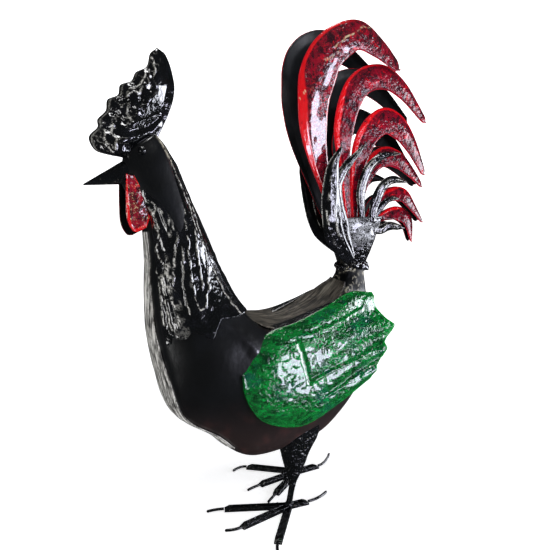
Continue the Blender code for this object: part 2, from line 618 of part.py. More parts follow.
def make_covert(side, name, index, where, parent):
    path, width, sheets_out, outside, forward = COVERTS[index]
    if side > 0:
        path = set_forward(path, forward)
    layer = layer_place(len(SICKLES) - 1 + sheets_out)
    beside_socket = layer_place(sheets_out) - INNER_LAYER

    def base(height):
        return socket_side(height) + beside_socket if outside else np.full_like(height, layer)

    fold = FRONT_FOLD if outside else 0.0
    points = feather_points(side, on_figure(path), on_figure(width), COVERT_PROFILE, base, fold,
                            COVERT_DISH_START)
    return sheet(name, points, (0.0, side, 0.0), black_paint("black enamel, " + name), where, parent)


def foot_place(side):
    """Middle of a foot on the floor. The left foot is the one in front."""
    return on_figure((STRIDE, FOOT_SPREAD)) / 2 * side


def make_thigh(side, name, where, parent):
    """Sheet cone from the belly down to the rod, trimmed by the belly."""
    foot = foot_place(side)
    bottom = np.array((foot[0] + on_figure(SHANK_LEAN), foot[1], on_figure(ANKLE_HEIGHT)))
    top = on_figure(THIGH_TOP[side])
    turn = np.linspace(0.0, 2 * math.pi, 16, endpoint=False)
    rings = []
    for share in (0.0, 1.0):
        centre = bottom + (top - bottom) * share
        long_half = (SHANK_DIAMETER * (1 - share) + on_figure(THIGH_TOP_LENGTH) * share) / 2
        wide_half = (SHANK_DIAMETER * (1 - share) + on_figure(THIGH_TOP_WIDTH) * share) / 2
        rings.append(np.stack((centre[0] + long_half * np.cos(turn), centre[1] + wide_half * np.sin(turn),
                               np.full_like(turn, centre[2])), axis=-1))
    mesh = loft(name, rings)
    smooth_shading(mesh)
    return add_object(name, mesh, black_paint("black enamel, " + name), where, parent)


def tube(name, points, diameter, where, material, parent, sides=2):
    """Rod or wire along points, made a closed mesh."""
    line = bpy.data.curves.new(name, "CURVE")
    line.dimensions = "3D"
    line.bevel_depth = diameter / 2
    line.bevel_resolution = sides
    line.use_fill_caps = True
    spline = line.splines.new("POLY")
    spline.points.add(len(points) - 1)
    for target, point in zip(spline.points, points):
        target.co = (*point, 1.0)
    guide = bpy.data.objects.new(name + " line", line)
    where.objects.link(guide)
    bpy.context.view_layer.update()
    mesh = bpy.data.meshes.new_from_object(guide.evaluated_get(bpy.context.evaluated_depsgraph_get()))
    bpy.data.objects.remove(guide)
    shell = bmesh.new()
    shell.from_mesh(mesh)
    bmesh.ops.remove_doubles(shell, verts=shell.verts, dist=1e-6)
    bmesh.ops.recalc_face_normals(shell, faces=shell.faces)
    shell.to_mesh(mesh)
    shell.free()
    mesh.name = name
    smooth_shading(mesh)
    return add_object(name, mesh, material, where, parent)


def make_shank(side, name, where, parent):
    """Leaning rod. Its square ends keep off the toes below and the thigh above."""
    foot = foot_place(side)
    ankle = on_figure(ANKLE_HEIGHT)
    lean = on_figure(SHANK_LEAN)
    end_tilt = SHANK_DIAMETER / 2 * lean / (ankle - TOE_HEIGHT)
    low = (foot[0], foot[1], TOE_HEIGHT + GAP + end_tilt)
    high = (foot[0] + lean, foot[1], ankle - GAP - end_tilt)
    return tube(name, (low, high), SHANK_DIAMETER, where, black_paint("black enamel, " + name), parent)


def toe_direction(side, angle):
    """Unit vector on the floor for an angle from straight ahead, outwards positive."""
    turn = math.radians(angle)
    return np.array((-math.cos(turn), side * math.sin(turn)))


def make_toe(side, name, toe, where, parent, cutters):
    """Folded channel, open upwards, with a sloped end."""
    angle = toe[0]
    length = on_figure(toe[1])
    outline = bpy.data.curves.new(name, "CURVE")
    outline.dimensions = "2D"
    outline.fill_mode = "BOTH"
    outline.extrude = TOE_WIDTH / 2
    corners = ((0.0, 0.0), (length, 0.0), (length, TOE_HEIGHT * 0.4), (length - TOE_HEIGHT * 1.2, TOE_HEIGHT),
               (0.0, TOE_HEIGHT))
    spline = outline.splines.new("POLY")
    spline.points.add(len(corners) - 1)
    for target, corner in zip(spline.points, corners):
        target.co = (*corner, 0.0, 1.0)
    spline.use_cyclic_u = True
    guide = bpy.data.objects.new(name + " outline", outline)
    where.objects.link(guide)
    bpy.context.view_layer.update()
    mesh = bpy.data.meshes.new_from_object(guide.evaluated_get(bpy.context.evaluated_depsgraph_get()))
    bpy.data.objects.remove(guide)
    shell = bmesh.new()
    shell.from_mesh(mesh)
    bmesh.ops.remove_doubles(shell, verts=shell.verts, dist=1e-6)
    shell.to_mesh(mesh)
    shell.free()
    mesh.transform(Matrix.Rotation(math.pi / 2, 4, "X"))
    foot = foot_place(side)
    ahead = toe_direction(side, angle)
    heading = math.atan2(ahead[1], ahead[0])
    item = add_object(name, mesh, black_paint("black enamel, " + name), where, parent)
    item.location = (foot[0], foot[1], 0.0)
    item.rotation_euler = (0.0, 0.0, heading)
    groove_start = SHANK_DIAMETER / 2
    groove_end = length - TOE_HEIGHT * 1.3
    groove_size = (groove_end - groove_start, TOE_WIDTH - 2 * TOE_WALL, TOE_HEIGHT)
    groove = make_cutter(name + " groove", box_mesh(groove_size), cutters, parent)
    middle = foot + ahead * (groove_start + groove_end) / 2
    groove.location = (middle[0], middle[1], TOE_WALL + TOE_HEIGHT / 2)
    groove.rotation_euler = (0.0, 0.0, heading)
    cut(item, groove)
    return item


def box_mesh(size):
    mesh = bpy.data.meshes.new("box")
    shell = bmesh.new()
    bmesh.ops.create_cube(shell, size=1.0, matrix=Matrix.Diagonal((*size, 1.0)))
    shell.to_mesh(mesh)
    shell.free()
    return mesh


def toe_clearance(side, name, toe, cutters, parent):
    """Block around a toe that the other toes of the foot keep out of."""
    angle = toe[0]
    length = on_figure(toe[1])
    block = make_cutter(name, box_mesh((length + GAP, TOE_WIDTH + 2 * GAP, 4 * TOE_HEIGHT)), cutters, parent)
    ahead = toe_direction(side, angle)
    middle = foot_place(side) + ahead * (length - GAP) / 2
    block.location = (middle[0], middle[1], 0.0)
    block.rotation_euler = (0.0, 0.0, math.atan2(ahead[1], ahead[0]))
    return block


def make_claw(side, name, toe, where, parent):
    """Bent wire from the toe's end to its tip on or just above the floor."""
    angle, length, reach, tip_angle, tip_height = toe
    length, reach, tip_height = on_figure((length, reach, tip_height))
    foot = foot_place(side)
    end_tilt = CLAW_WIRE / 8
    start = foot + toe_direction(side, angle) * (length + GAP + end_tilt)
    tip = foot + toe_direction(side, tip_angle) * reach
    aim = start + toe_direction(side, angle) * (reach - length) * 0.5
    low = CLAW_WIRE / 2
    lifted = TOE_HEIGHT / 2
    points = []
    for share in np.linspace(0.0, 1.0, 5):
        flat = start * (1 - share) ** 2 + aim * 2 * share * (1 - share) + tip * share ** 2
        height = lifted + (low + tip_height - lifted) * share ** 2
        points.append((flat[0], flat[1], height))
    return tube(name, points, CLAW_WIRE, where, black_paint("black enamel, " + name), parent, sides=1)


def make_foot(side, label, toes, where, parent, cutters):
    middle_block = toe_clearance(side, label + " middle toe block", toes[MIDDLE_TOE], cutters, parent)
    hind_block = toe_clearance(side, label + " hind toe block", toes[HIND_TOE], cutters, parent)
    for index, toe in enumerate(toes):
        item = make_toe(side, f"toe_{label}_{index + 1}", toe, where, parent, cutters)
        if index != MIDDLE_TOE:
            cut(item, middle_block)
        if index not in (MIDDLE_TOE, HIND_TOE):
            cut(item, hind_block)
        make_claw(side, f"claw_{label}_{index + 1}", toe, where, parent)


def settle(root, where):
    """Moves the root so that the origin is under the middle of the figure's box, on the floor."""
    bpy.context.view_layer.update()
    graph = bpy.context.evaluated_depsgraph_get()
    corners = []
    for item in where.objects:
        if item.type == "MESH":
            shown = item.evaluated_get(graph)
            corners += [shown.matrix_world @ Vector(corner) for corner in shown.bound_box]
    corners = np.array(corners)
    low = corners.min(axis=0)
    high = corners.max(axis=0)
    root.location = (-(low[0] + high[0]) / 2, -(low[1] + high[1]) / 2, -low[2])


def main():
    for item in list(bpy.data.objects):
        bpy.data.objects.remove(item)
    where = bpy.data.collections.new("metal rooster")
    cutters = bpy.data.collections.new("cutters")
    bpy.context.scene.collection.children.link(where)
    bpy.context.scene.collection.children.link(cutters)
    root = bpy.data.objects.new("rooster", None)
    where.objects.link(root)

    make_body(where, root)
    cape_reach = CAPE_CLEARANCE + 2 * SHEET + CAPE_FLARE + CAPE_PLEAT
    cape_rows = station_rows(min(CAPE_TOP_ROWS[0], CAPE_TOP_ROWS[1]) - 0.2, max(CAPE_HEM_ROWS))
    grown_neck = loft("cape clearance", skin(cape_rows[:, None], around_body()[None, :], cape_reach))
    plated_body = loft("plate clearance", body_rings(SHEET + 2 * GAP))
    around_the_plates = make_cutter("plate clearance", plated_body, cutters, root)
    around_the_cape = make_cutter("cape clearance", grown_neck, cutters, root)
    grown_body = loft("body clearance", body_rings(GAP, GAP))
    around_the_body = make_cutter("body clearance", grown_body, cutters, root)
    trimmed = [
        skin_panel("breast_panel", BREAST_ROWS, 2.0, FRONT_STEPS, (-1.0, 0.0, -0.3), where, root),
        skin_panel("saddle_panel", SADDLE_ROWS, 0.0, BACK_STEPS, (0.3, 0.0, 1.0), where, root),
        make_comb(where, root),
        make_beak(where, root),
    ]
    make_hackle_cape(where, root)

    around_the_socket = make_cutter("socket clearance", socket_mesh("socket clearance", GAP), cutters, root)
    make_socket(where, root)
    for side, label, toes in ((-1, "left", LEFT_TOES), (1, "right", RIGHT_TOES)):
        trimmed.append(make_eye(side, "eye_" + label, where, root))
        wattle = make_wattle(side, "wattle_" + label, where, root)
        cut(wattle, around_the_cape)
        trimmed.append(wattle)
        cut(make_wing(side, "wing_" + label, where, root), around_the_plates)
        trimmed.append(make_thigh(side, "thigh_" + label, where, root))
        make_shank(side, "shank_" + label, where, root)
        make_foot(side, label, toes, where, root, cutters)
        for index in range(len(SICKLES)):
            sickle = make_sickle(side, f"sickle_{label}_{index + 1}", index, where, root)
            cut(sickle, around_the_socket, "MANIFOLD")
        for index in range(len(COVERTS)):
            covert = make_covert(side, f"covert_{label}_{index + 1}", index, where, root)
            cut(covert, around_the_socket, "MANIFOLD")
    for item in trimmed:
        cut(item, around_the_body)
    settle(root, where)


main()
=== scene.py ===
import itertools
import math

import bmesh
import bpy
import numpy as np
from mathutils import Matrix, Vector


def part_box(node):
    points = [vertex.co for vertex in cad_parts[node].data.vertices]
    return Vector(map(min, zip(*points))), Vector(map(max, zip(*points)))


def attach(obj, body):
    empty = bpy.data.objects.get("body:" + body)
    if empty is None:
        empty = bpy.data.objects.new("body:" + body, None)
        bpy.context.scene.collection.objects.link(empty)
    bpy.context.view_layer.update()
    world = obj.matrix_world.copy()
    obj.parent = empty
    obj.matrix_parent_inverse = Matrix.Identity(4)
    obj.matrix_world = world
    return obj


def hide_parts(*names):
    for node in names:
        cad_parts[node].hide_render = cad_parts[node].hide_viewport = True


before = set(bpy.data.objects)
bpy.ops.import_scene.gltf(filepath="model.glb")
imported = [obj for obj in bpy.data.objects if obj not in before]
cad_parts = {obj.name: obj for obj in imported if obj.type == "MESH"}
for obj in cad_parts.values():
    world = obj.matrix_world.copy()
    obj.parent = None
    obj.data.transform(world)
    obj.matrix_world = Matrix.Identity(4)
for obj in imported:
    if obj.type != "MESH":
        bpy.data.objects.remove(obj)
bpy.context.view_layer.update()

# A yard rooster welded from painted drum sheet. It looks along -X and its left side is -Y.
# Outlines are in percent of its height, on its side plane, and stock sizes in metres.
figure = {
    "height": 0.760,
    "sheet": 0.0016,            # drum sheet with its paint
    "gap": 0.0003,
}
tailSocket = {
    "waist": (14.0, 50.1),
    "mouth": (14.3, 60.9),
    "waistLength": 6.0,
    "mouthLength": 12.2,
    "waistDepth": 3.7,
    "mouthDepth": 7.4,
    "flare": 0.8,
    "rings": 60,
    "around": 112,
    "dents": ((0.0006, 0.012, 81), (0.00036, 0.006, 82)),   # height, cell and seed of each noise
    "wearAndSheenMiddle": 13.5,             # middle and half width of the pale place on its sides, partly rubbed steel and partly painted reflection
    "wearAndSheenReach": 4.5,
    "wearAndSheenHeights": (53.5, 57.5),
}


def onFigure(values):           # percent of the height to metres
    return np.array(values, float) * figure["height"] / 100


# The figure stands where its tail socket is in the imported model
socketLow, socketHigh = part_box("tail_socket")
figureShift = np.array((socketHigh.x - onFigure(tailSocket["mouth"][0] + tailSocket["mouthLength"] / 2),
                        (socketLow.y + socketHigh.y) / 2, 0.0))


def smoothCurve(rows, steps):
    # each span is a cubic whose slope at a row is half the way from the row before to the row after
    rows = np.atleast_2d(np.asarray(rows, float))
    steps = np.clip(np.asarray(steps, float), 0, len(rows) - 1)
    start = np.minimum(steps.astype(int), len(rows) - 2)
    part = (steps - start)[..., None]
    padded = np.vstack((2 * rows[0] - rows[1], rows, 2 * rows[-1] - rows[-2]))
    before, first, last, after = (padded[start + shift] for shift in range(4))
    return 0.5 * (2 * first + (last - before) * part
                  + (2 * before - 5 * first + 4 * last - after) * part ** 2
                  + (3 * first - before - 3 * last + after) * part ** 3)


def alongPath(points, shares):
    # points at equal arc lengths of the smooth curve through the given ones
    fine = smoothCurve(points, np.linspace(0, len(points) - 1, 400))
    length = np.concatenate(([0.0], np.cumsum(np.linalg.norm(np.diff(fine, axis=0), axis=1))))
    wanted = np.asarray(shares) * length[-1]
    axes = range(fine.shape[1])
    return np.stack([np.interp(wanted, length, fine[:, axis]) for axis in axes], axis=-1)


def pathLength(points):
    # the chords of the smooth curve through the points, added up
    fine = smoothCurve(points, np.linspace(0, len(points) - 1, 400))
    return np.linalg.norm(np.diff(fine, axis=0), axis=1).sum()


def readKnots(knots, values):
    # straight pieces between the knots of a table
    table = np.array(knots)
    return np.interp(values, table[:, 0], table[:, 1])


def rise(values, low, high):
    # 0 below low, 1 above high, and 3t^2 - 2t^3 between
    part = np.clip((np.asarray(values, float) - low) / (high - low), 0, 1)
    return part * part * (3 - 2 * part)


def lumpNoise(points, cell, seed):
    # random numbers from -1 to 1 at the corners of cubic cells, blended smoothly inside each cell
    table = np.random.default_rng(seed).uniform(-1, 1, (32, 32, 32))
    scaled = np.asarray(points, float) / cell
    base = np.floor(scaled).astype(int)
    part = scaled - base
    part = part * part * (3 - 2 * part)
    total = 0.0
    for corner in itertools.product((0, 1), repeat=3):
        share = np.prod(np.where(corner, part, 1 - part), axis=-1)
        place = (base + np.array(corner)) % 32
        total = total + share * table[place[..., 0], place[..., 1], place[..., 2]]
    return total


def lumps(points, layers, seed=0):
    # layers of noise added up, each with its height, the size of its cells and its seed
    return sum(height * lumpNoise(points, cell, seed + own) for height, cell, own in layers)


def lineDistance(x, z, line):
    # distance in the side view to the nearest of a line's straight pieces
    line = onFigure(line)
    nearest = np.full(np.shape(x), np.inf)
    for start, end in zip(line[:-1], line[1:]):
        step = end - start
        share = np.clip(((x - start[0]) * step[0] + (z - start[1]) * step[1]) / (step @ step), 0, 1)
        away = np.hypot(x - start[0] - share * step[0], z - start[1] - share * step[1])
        nearest = np.minimum(nearest, away)
    return nearest


handDrawn = {       # how far a drawn line wanders, and the noises that lead it aside and upwards
    "wander": 0.0016,
    "aside": ((1.0, 0.009, 5), (0.5, 0.004, 6)),
    "upwards": ((1.0, 0.009, 7), (0.5, 0.004, 8)),
}


def lineRidge(points, line, width, wander=handDrawn["wander"]):
    # a bell across the line: e to the minus square of distance over width; the line wanders by noise
    x = points[..., 0] + wander * lumps(points, handDrawn["aside"])
    z = points[..., 2] + wander * lumps(points, handDrawn["upwards"])
    return np.exp(-(lineDistance(x, z, line) / width) ** 2)


def ridges(points, lines, width, wander=handDrawn["wander"]):
    # the ridges of several lines added up
    return sum(lineRidge(points, line, width, wander) for line in lines)


def gridNormals(points, outside=None):
    # cross product of the differences along the rows and across them; a grid without an outside
    # direction is a closed shell, whose normals point away from the middle of each ring
    if outside is None:
        across = np.roll(points, -1, axis=1) - np.roll(points, 1, axis=1)
        outwards = points - points.mean(axis=1, keepdims=True)
    else:
        across = np.gradient(points, axis=1)
        outwards = np.array(outside)
    normals = np.cross(across, np.gradient(points, axis=0))
    normals /= np.maximum(np.linalg.norm(normals, axis=-1, keepdims=True), 1e-12)
    return normals if (normals * outwards).sum() > 0 else -normals


def evenedAcross(points, passes, closed):
    # each point moves to the mean of itself and its two neighbours' middle, again and again
    for _ in range(passes):
        if closed:
            middle = (np.roll(points, 1, axis=1) + np.roll(points, -1, axis=1)) / 2
            points = (points + middle) / 2
        else:
            inner = (points[:, :-2] + points[:, 2:]) / 2
            points = np.concatenate((points[:, :1], (points[:, 1:-1] + inner) / 2, points[:, -1:]), axis=1)
    return points


def gridFaces(rows, columns, closed):
    # numbers of a grid's points and its four-sided faces; a closed grid joins up across its rows
    index = np.arange(rows * columns).reshape(rows, columns)
    if closed:
        index = np.concatenate((index, index[:, :1]), axis=1)
    faces = np.stack((index[:-1, :-1], index[:-1, 1:], index[1:, 1:], index[1:, :-1]), axis=-1)
    return index, faces.reshape(-1, 4)


mending = {"doubles": 1e-6, "slivers": 1e-7}        # metres within which points and edges merge


def makePiece(name, points, node, finishes, outside=None, marks=None, alongAcross=None):
    # a surface through a grid of points: a closed shell, or an open sheet that faces outside and has
    # its thickness behind it. Marks are values kept on its points for its paint
    rows, columns = points.shape[:2]
    index, faces = gridFaces(rows, columns, outside is None)
    corners, faces, extra = points.reshape(-1, 3), faces.tolist(), 0
    if outside is None:         # both ends close on a middle point
        for ring, turn in ((index[0], 1), (index[-1], -1)):
            corners = np.concatenate((corners, corners[ring[:-1]].mean(axis=0, keepdims=True)))
            fan = np.stack((np.full(columns, len(corners) - 1), ring[1:], ring[:-1]), axis=-1)
            faces += fan[:, ::turn].tolist()
            extra += 1
    mesh = bpy.data.meshes.new(name)
    mesh.from_pydata((corners + figureShift).tolist(), [], faces)
    for mark, values in (marks or {}).items():
        values = np.broadcast_to(values, (rows, columns)).ravel()
        values = np.concatenate((values, np.zeros(extra))).astype(np.float32)
        mesh.attributes.new(mark, "FLOAT", "POINT").data.foreach_set("value", values)
    if alongAcross is not None:     # metres along and across the sheet, for patterns that follow it
        order = np.empty(len(mesh.loops), int)
        mesh.loops.foreach_get("vertex_index", order)
        flat = alongAcross.reshape(-1, 2)[order].astype(np.float32)
        mesh.uv_layers.new(name="alongAcross").data.foreach_set("uv", flat.ravel())
    surface = bmesh.new()
    surface.from_mesh(mesh)
    bmesh.ops.remove_doubles(surface, verts=surface.verts, dist=mending["doubles"])
    bmesh.ops.dissolve_degenerate(surface, edges=surface.edges, dist=mending["slivers"])
    surface.normal_update()
    if outside is None:
        turned = surface.calc_volume(signed=True) < 0
    else:
        facing = sum((face.normal * face.calc_area() for face in surface.faces), Vector())
        turned = facing.dot(outside) < 0
    if turned:
        bmesh.ops.reverse_faces(surface, faces=surface.faces)
    surface.to_mesh(mesh)
    surface.free()
    for finish in finishes:
        mesh.materials.append(finish)
    piece = placed(name, mesh, node)
    if outside is not None:
        wall = piece.modifiers.new("sheet", "SOLIDIFY")
        wall.thickness = figure["sheet"]
        wall.offset = -1
        wall.use_even_offset = False
        wall.material_offset = len(finishes) - 1
    return piece


def placed(name, mesh, node):
    # the mesh as a piece of the figure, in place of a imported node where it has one
    mesh.shade_smooth()
    piece = bpy.data.objects.new(name, mesh)
    bpy.context.scene.collection.objects.link(piece)
    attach(piece, "root")
    if node:
        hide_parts(node)
    return piece


def fromHex(code):
    # sRGB to linear: the low part divided by 12.92, the rest ((c + 0.055) / 1.055) to the power 2.4
    values = [int(code[place:place + 2], 16) / 255 for place in (0, 2, 4)]
    linear = [value / 12.92 if value <= 0.04045 else ((value + 0.055) / 1.055) ** 2.4 for value in values]
    return (*linear, 1.0)


def addNode(tree, kind, inputs=None, **settings):
    node = tree.nodes.new(kind)
    for name, value in settings.items():
        setattr(node, name, value)
    for socket, value in (inputs or {}).items():
        if isinstance(value, bpy.types.NodeSocket):
            tree.links.new(value, node.inputs[socket])
        else:
            node.inputs[socket].default_value = value
    return node


def cloud(tree, where, shift, size, low, high, detail=3.0, rough=0.55, warp=0.0, stretch=(1, 1, 1)):
    # noise of the given size in mm, away from other clouds by its shift: 0 below low, 1 above high
    inputs = {"Vector": where, "Location": shift, "Scale": stretch}
    inputs = {"Vector": addNode(tree, "ShaderNodeMapping", inputs).outputs[0], "Scale": 1000 / size,
              "Detail": detail, "Roughness": rough, "Distortion": warp}
    noise = addNode(tree, "ShaderNodeTexNoise", inputs).outputs[0]
    return addNode(tree, "ShaderNodeMapRange", {"Value": noise, "From Min": low, "From Max": high},
                   interpolation_type="SMOOTHSTEP").outputs[0]


def layCoats(tree, where, colour, coats):
    # each coat has a colour, a share, the mark that it keeps to and its clouds, whose product says
    # how far it covers the coats below. Also gives back how far the last one covers
    for code, share, amount, *clouds in coats:
        if isinstance(amount, str):
            amount = addNode(tree, "ShaderNodeAttribute", attribute_name=amount).outputs["Fac"]
        cover = share
        for factor in (amount, *(cloud(tree, where, *settings) for settings in clouds)):
            if factor is not None:
                cover = addNode(tree, "ShaderNodeMath", {0: cover, 1: factor}, operation="MULTIPLY",
                                use_clamp=True).outputs[0]
        colour = addNode(tree, "ShaderNodeMix", {0: cover, 6: colour, 7: fromHex(code)},
                         data_type="RGBA").outputs[2]
    return colour, cover


def newPaint(name, sockets):
    paint = bpy.data.materials.new(name)
    paint.use_nodes = True
    tree = paint.node_tree
    shader = tree.nodes["Principled BSDF"]
    for socket, value in sockets.items():
        shader.inputs[socket].default_value = value
    return paint, tree, shader, addNode(tree, "ShaderNodeTexCoord").outputs["Object"]


gloss = {       # brushed enamel mirrors more than a plain plastic's 0.5, under a clear top coat
    "Specular IOR Level": 0.9,
    "Coat IOR": 1.7,
    "Coat Roughness": 0.05,
}


def dent(tree, shader, where, size, depth, strength=1.0):
    # rounded dents of the given size in mm: few octaves, so that reflections stay sharp
    height = cloud(tree, where, (0, 0, 0), size, 0.2, 0.8, detail=2, rough=0.5)
    bump = addNode(tree, "ShaderNodeBump", {"Height": height, "Distance": depth, "Strength": strength})
    tree.links.new(bump.outputs[0], shader.inputs["Normal"])


blackPaint = {
    "ground": "050607",
    "blue": ("090b0e", 1.0, None, ((0, 0, 0), 60, 0.4, 0.65)),
    "sheen": ((0, 0, 0), 35, 0.3, 0.7),     # cloud between the two roughnesses
    "glossy": (0.10, 0.18),
    "dull": (0.4, 0.55),
    "dullMirror": 0.2,
    # grey of the specks: partly rubbed paint and partly painted glints
    "worn": "8f897c",
    "wearAndGlintSize": 4,
    "wearAndGlintFrom": 0.72,
    "dentSize": 7,
    "coat": 0.6,
}


def glossBlackEnamel(name, wearAndGlintShare=0.0, dents=0.0004, dull=False):
    # black gloss enamel brushed on steel: deep black with sharp reflections and faint brush marks,
    # rubbed to grey in specks where it is worn, specks that also stand as painted glints on the small
    # parts, toes and thighs, and without its shine inside the sheets
    low, high = blackPaint["dull" if dull else "glossy"]
    paint, tree, shader, where = newPaint(name, gloss)
    shader.inputs["Coat Weight"].default_value = 0.0 if dull else blackPaint["coat"]
    if dull:
        shader.inputs["Specular IOR Level"].default_value = blackPaint["dullMirror"]
    coats = [blackPaint["blue"]]
    # grey specks: partly wear and partly painted glints
    if wearAndGlintShare:
        start = blackPaint["wearAndGlintFrom"] - wearAndGlintShare
        specks = ((1, 2, 3), blackPaint["wearAndGlintSize"], start, start + 0.04)
        coats.append((blackPaint["worn"], 1.0, None, specks))
    colour, _ = layCoats(tree, where, fromHex(blackPaint["ground"]), coats)
    sheen = addNode(tree, "ShaderNodeMapRange", {"Value": cloud(tree, where, *blackPaint["sheen"]),
                                                 "To Min": low, "To Max": high})
    tree.links.new(colour, shader.inputs["Base Color"])
    tree.links.new(sheen.outputs[0], shader.inputs["Roughness"])
    dent(tree, shader, where, blackPaint["dentSize"], dents, 1.0 if wearAndGlintShare else 0.3)
    return paint


bodyPaint = {
    "bellyHeight": (0.22, 0.10),    # metres above the floor between which the belly turns brown
    "brown": "2a1917",
    "primer": "3c1e1b",
    "primerCloud": ((0, 0, 0), 24, 0.5, 0.68),
    "rubbed": "b4ae9c",
    "rubbedCloud": ((3, 1, 2), 5, 0.40, 0.48),
    "roughness": (0.3, 0.5),
    "stemRoughness": 0.35,
    "stemMirror": 0.15,
    "dents": 0.0004,
}


def bodyBlackEnamel(name):
    # the same enamel weathered outdoors: brown-black on the belly, where the primer shows through,
    # rubbed to pale steel along its seams, and dull on the tail stem
    paint, tree, shader, where = newPaint(name, gloss)
    height = addNode(tree, "ShaderNodeSeparateXYZ", {"Vector": where}).outputs["Z"]
    high, low = bodyPaint["bellyHeight"]
    belly = addNode(tree, "ShaderNodeMapRange", {"Value": height, "From Min": high, "From Max": low},
                    interpolation_type="SMOOTHSTEP").outputs[0]
    stem = addNode(tree, "ShaderNodeAttribute", attribute_name="stem").outputs["Fac"]
    colour, _ = layCoats(tree, where, fromHex(blackPaint["ground"]), (
        blackPaint["blue"],
        (bodyPaint["brown"], 1.0, belly),
        (bodyPaint["primer"], 1.0, belly, bodyPaint["primerCloud"]),
        (bodyPaint["rubbed"], 1.0, "wear", bodyPaint["rubbedCloud"])))
    tree.links.new(colour, shader.inputs["Base Color"])
    # roughness, top coat and mirror between their values off and on the stem
    smooth, rough = bodyPaint["roughness"]
    bodyRoughness = addNode(tree, "ShaderNodeMapRange", {"Value": belly, "To Min": smooth, "To Max": rough})
    stemRoughness = addNode(tree, "ShaderNodeMath", {0: stem, 1: bodyPaint["stemRoughness"]},
                            operation="MULTIPLY")
    roughness = addNode(tree, "ShaderNodeMath", {0: bodyRoughness.outputs[0], 1: stemRoughness.outputs[0]},
                        operation="MAXIMUM")
    tree.links.new(roughness.outputs[0], shader.inputs["Roughness"])
    for socket, off, on in (("Coat Weight", blackPaint["coat"], 0.0),
                            ("Specular IOR Level", gloss["Specular IOR Level"], bodyPaint["stemMirror"])):
        level = addNode(tree, "ShaderNodeMapRange", {"Value": stem, "To Min": off, "To Max": on})
        tree.links.new(level.outputs[0], shader.inputs[socket])
    dent(tree, shader, where, blackPaint["dentSize"], bodyPaint["dents"], 0.3)
    return paint


wornPaint = {
    "blue": ("0d0e12", 1.0, None, ((0, 0, 0), 18, 0.45, 0.7)),
    "fleck": "9a937f",
    "fleckPatches": ((1, 6, 2), 22, 0.45, 0.6),
    "cream": "dcdad2",
    "broken": ((2, 5, 1), 3, 0.44, 0.54, 6, 0.8),
    "roughness": (0.1, 0.4),        # of the enamel and of the rubbed crests
}


def wornBlackEnamel(name, coat=1.0, dents=0.0009, flecked=0.70, rubbed=wornPaint["cream"]):
    # the same enamel over hammered ridges: rubbed through to cream undercoat and bright steel on the
    # crests, so thin broken pale lines run along black gloss; the pale patch on the socket and the pale
    # crests at the throat are partly painted reflection
    paint, tree, shader, where = newPaint(name, gloss)
    shader.inputs["Coat Weight"].default_value = coat
    flecks = ((7, 3, 4), 3.5, flecked, flecked + 0.03, 5, 0.7)
    colour, wear = layCoats(tree, where, fromHex(blackPaint["ground"]), (
        wornPaint["blue"],
        (wornPaint["fleck"], 1.0, None, flecks, wornPaint["fleckPatches"]),
        (rubbed, 1.0, "wear", wornPaint["broken"])))
    smooth, rough = wornPaint["roughness"]
    roughness = addNode(tree, "ShaderNodeMapRange", {"Value": wear, "To Min": smooth, "To Max": rough})
    tree.links.new(colour, shader.inputs["Base Color"])
    tree.links.new(roughness.outputs[0], shader.inputs["Roughness"])
    dent(tree, shader, where, blackPaint["dentSize"], dents)
    return paint


redPaint = {
    "ground": "2a0e17",
    "blotches": (
        ("860b22", 1.0, None, ((0, 0, 0), 13, 0.42, 0.62, 8, 0.8, 0.5)),
        ("c8101e", 1.0, None, ((9, 1, 3), 11, 0.54, 0.66, 8, 0.8, 0.4)),
        # pink blotches: painted highlights
        ("b0405a", 0.7, None, ((4, 2, 6), 10, 0.60, 0.70, 7, 0.75)),
        ("cc0a14", 1.0, "strip", ((3, 3, 8), 9, 0.30, 0.42, 6, 0.7)),
    ),
    "fleck": "d0bf92",
    "edges": (("cdbf9b", 1.0, "wear", ((2, 5, 1), 4, 0.36, 0.46, 5)), ("b81e30", 0.6, "rim")),
    "roughness": 0.14,
    "plainMirror": 0.5,
    "dentSize": 6,
    "dents": 0.0006,
}


def mottledRedEnamel(name, coat=0.1, flecked=0.665):
    # crimson and bright red enamel dabbed over dark maroon, with pink blotches as painted highlights:
    # blotches of 10 to 25 mm broken by fine strokes, cream flecks where the undercoat shows, and a plain
    # bright red strip along the front
    paint, tree, shader, where = newPaint(name, gloss)
    shader.inputs["Roughness"].default_value = redPaint["roughness"]
    shader.inputs["Coat Weight"].default_value = coat
    if coat < 0.5:
        shader.inputs["Specular IOR Level"].default_value = redPaint["plainMirror"]
    flecks = (redPaint["fleck"], 1.0, None, ((5, 8, 2), 4, flecked, flecked + 0.03, 7, 0.85))
    coats = (*redPaint["blotches"], flecks, *redPaint["edges"])
    tree.links.new(layCoats(tree, where, fromHex(redPaint["ground"]), coats)[0], shader.inputs["Base Color"])
    dent(tree, shader, where, redPaint["dentSize"], redPaint["dents"])
    return paint


greenPaint = {
    "ground": "06702b",
    "coats": (          # the large patches lie lengthwise on the wing
        ("022a12", 1.0, None, ((0, 0, 0), 13, 0.40, 0.62, 8, 0.8, 0.4, (0.6, 1, 1))),
        ("0b483c", 0.8, None, ((5, 1, 2), 26, 0.5, 0.66, 6, 0.7, 0.0, (0.6, 1, 1))),
        ("06983e", 1.0, None, ((2, 7, 3), 11, 0.54, 0.68, 8, 0.8, 0.0, (0.6, 1, 1))),
        # white flecks: partly rubbed crests, partly painted glints
        ("c4d0b4", 1.0, None, ((8, 2, 5), 4.5, 0.665, 0.70, 6, 0.8)),
        ("06962f", 0.6, "rim"),
        # painted shade: the turned-in rim along the top is black, so that it reads as the shaded gap against
        # the body
        (blackPaint["ground"], 1.0, "turned"),
    ),
    "roughness": 0.12,
    "coat": 0.9,
    "dentSize": 6,
    "dents": 0.0010,
}


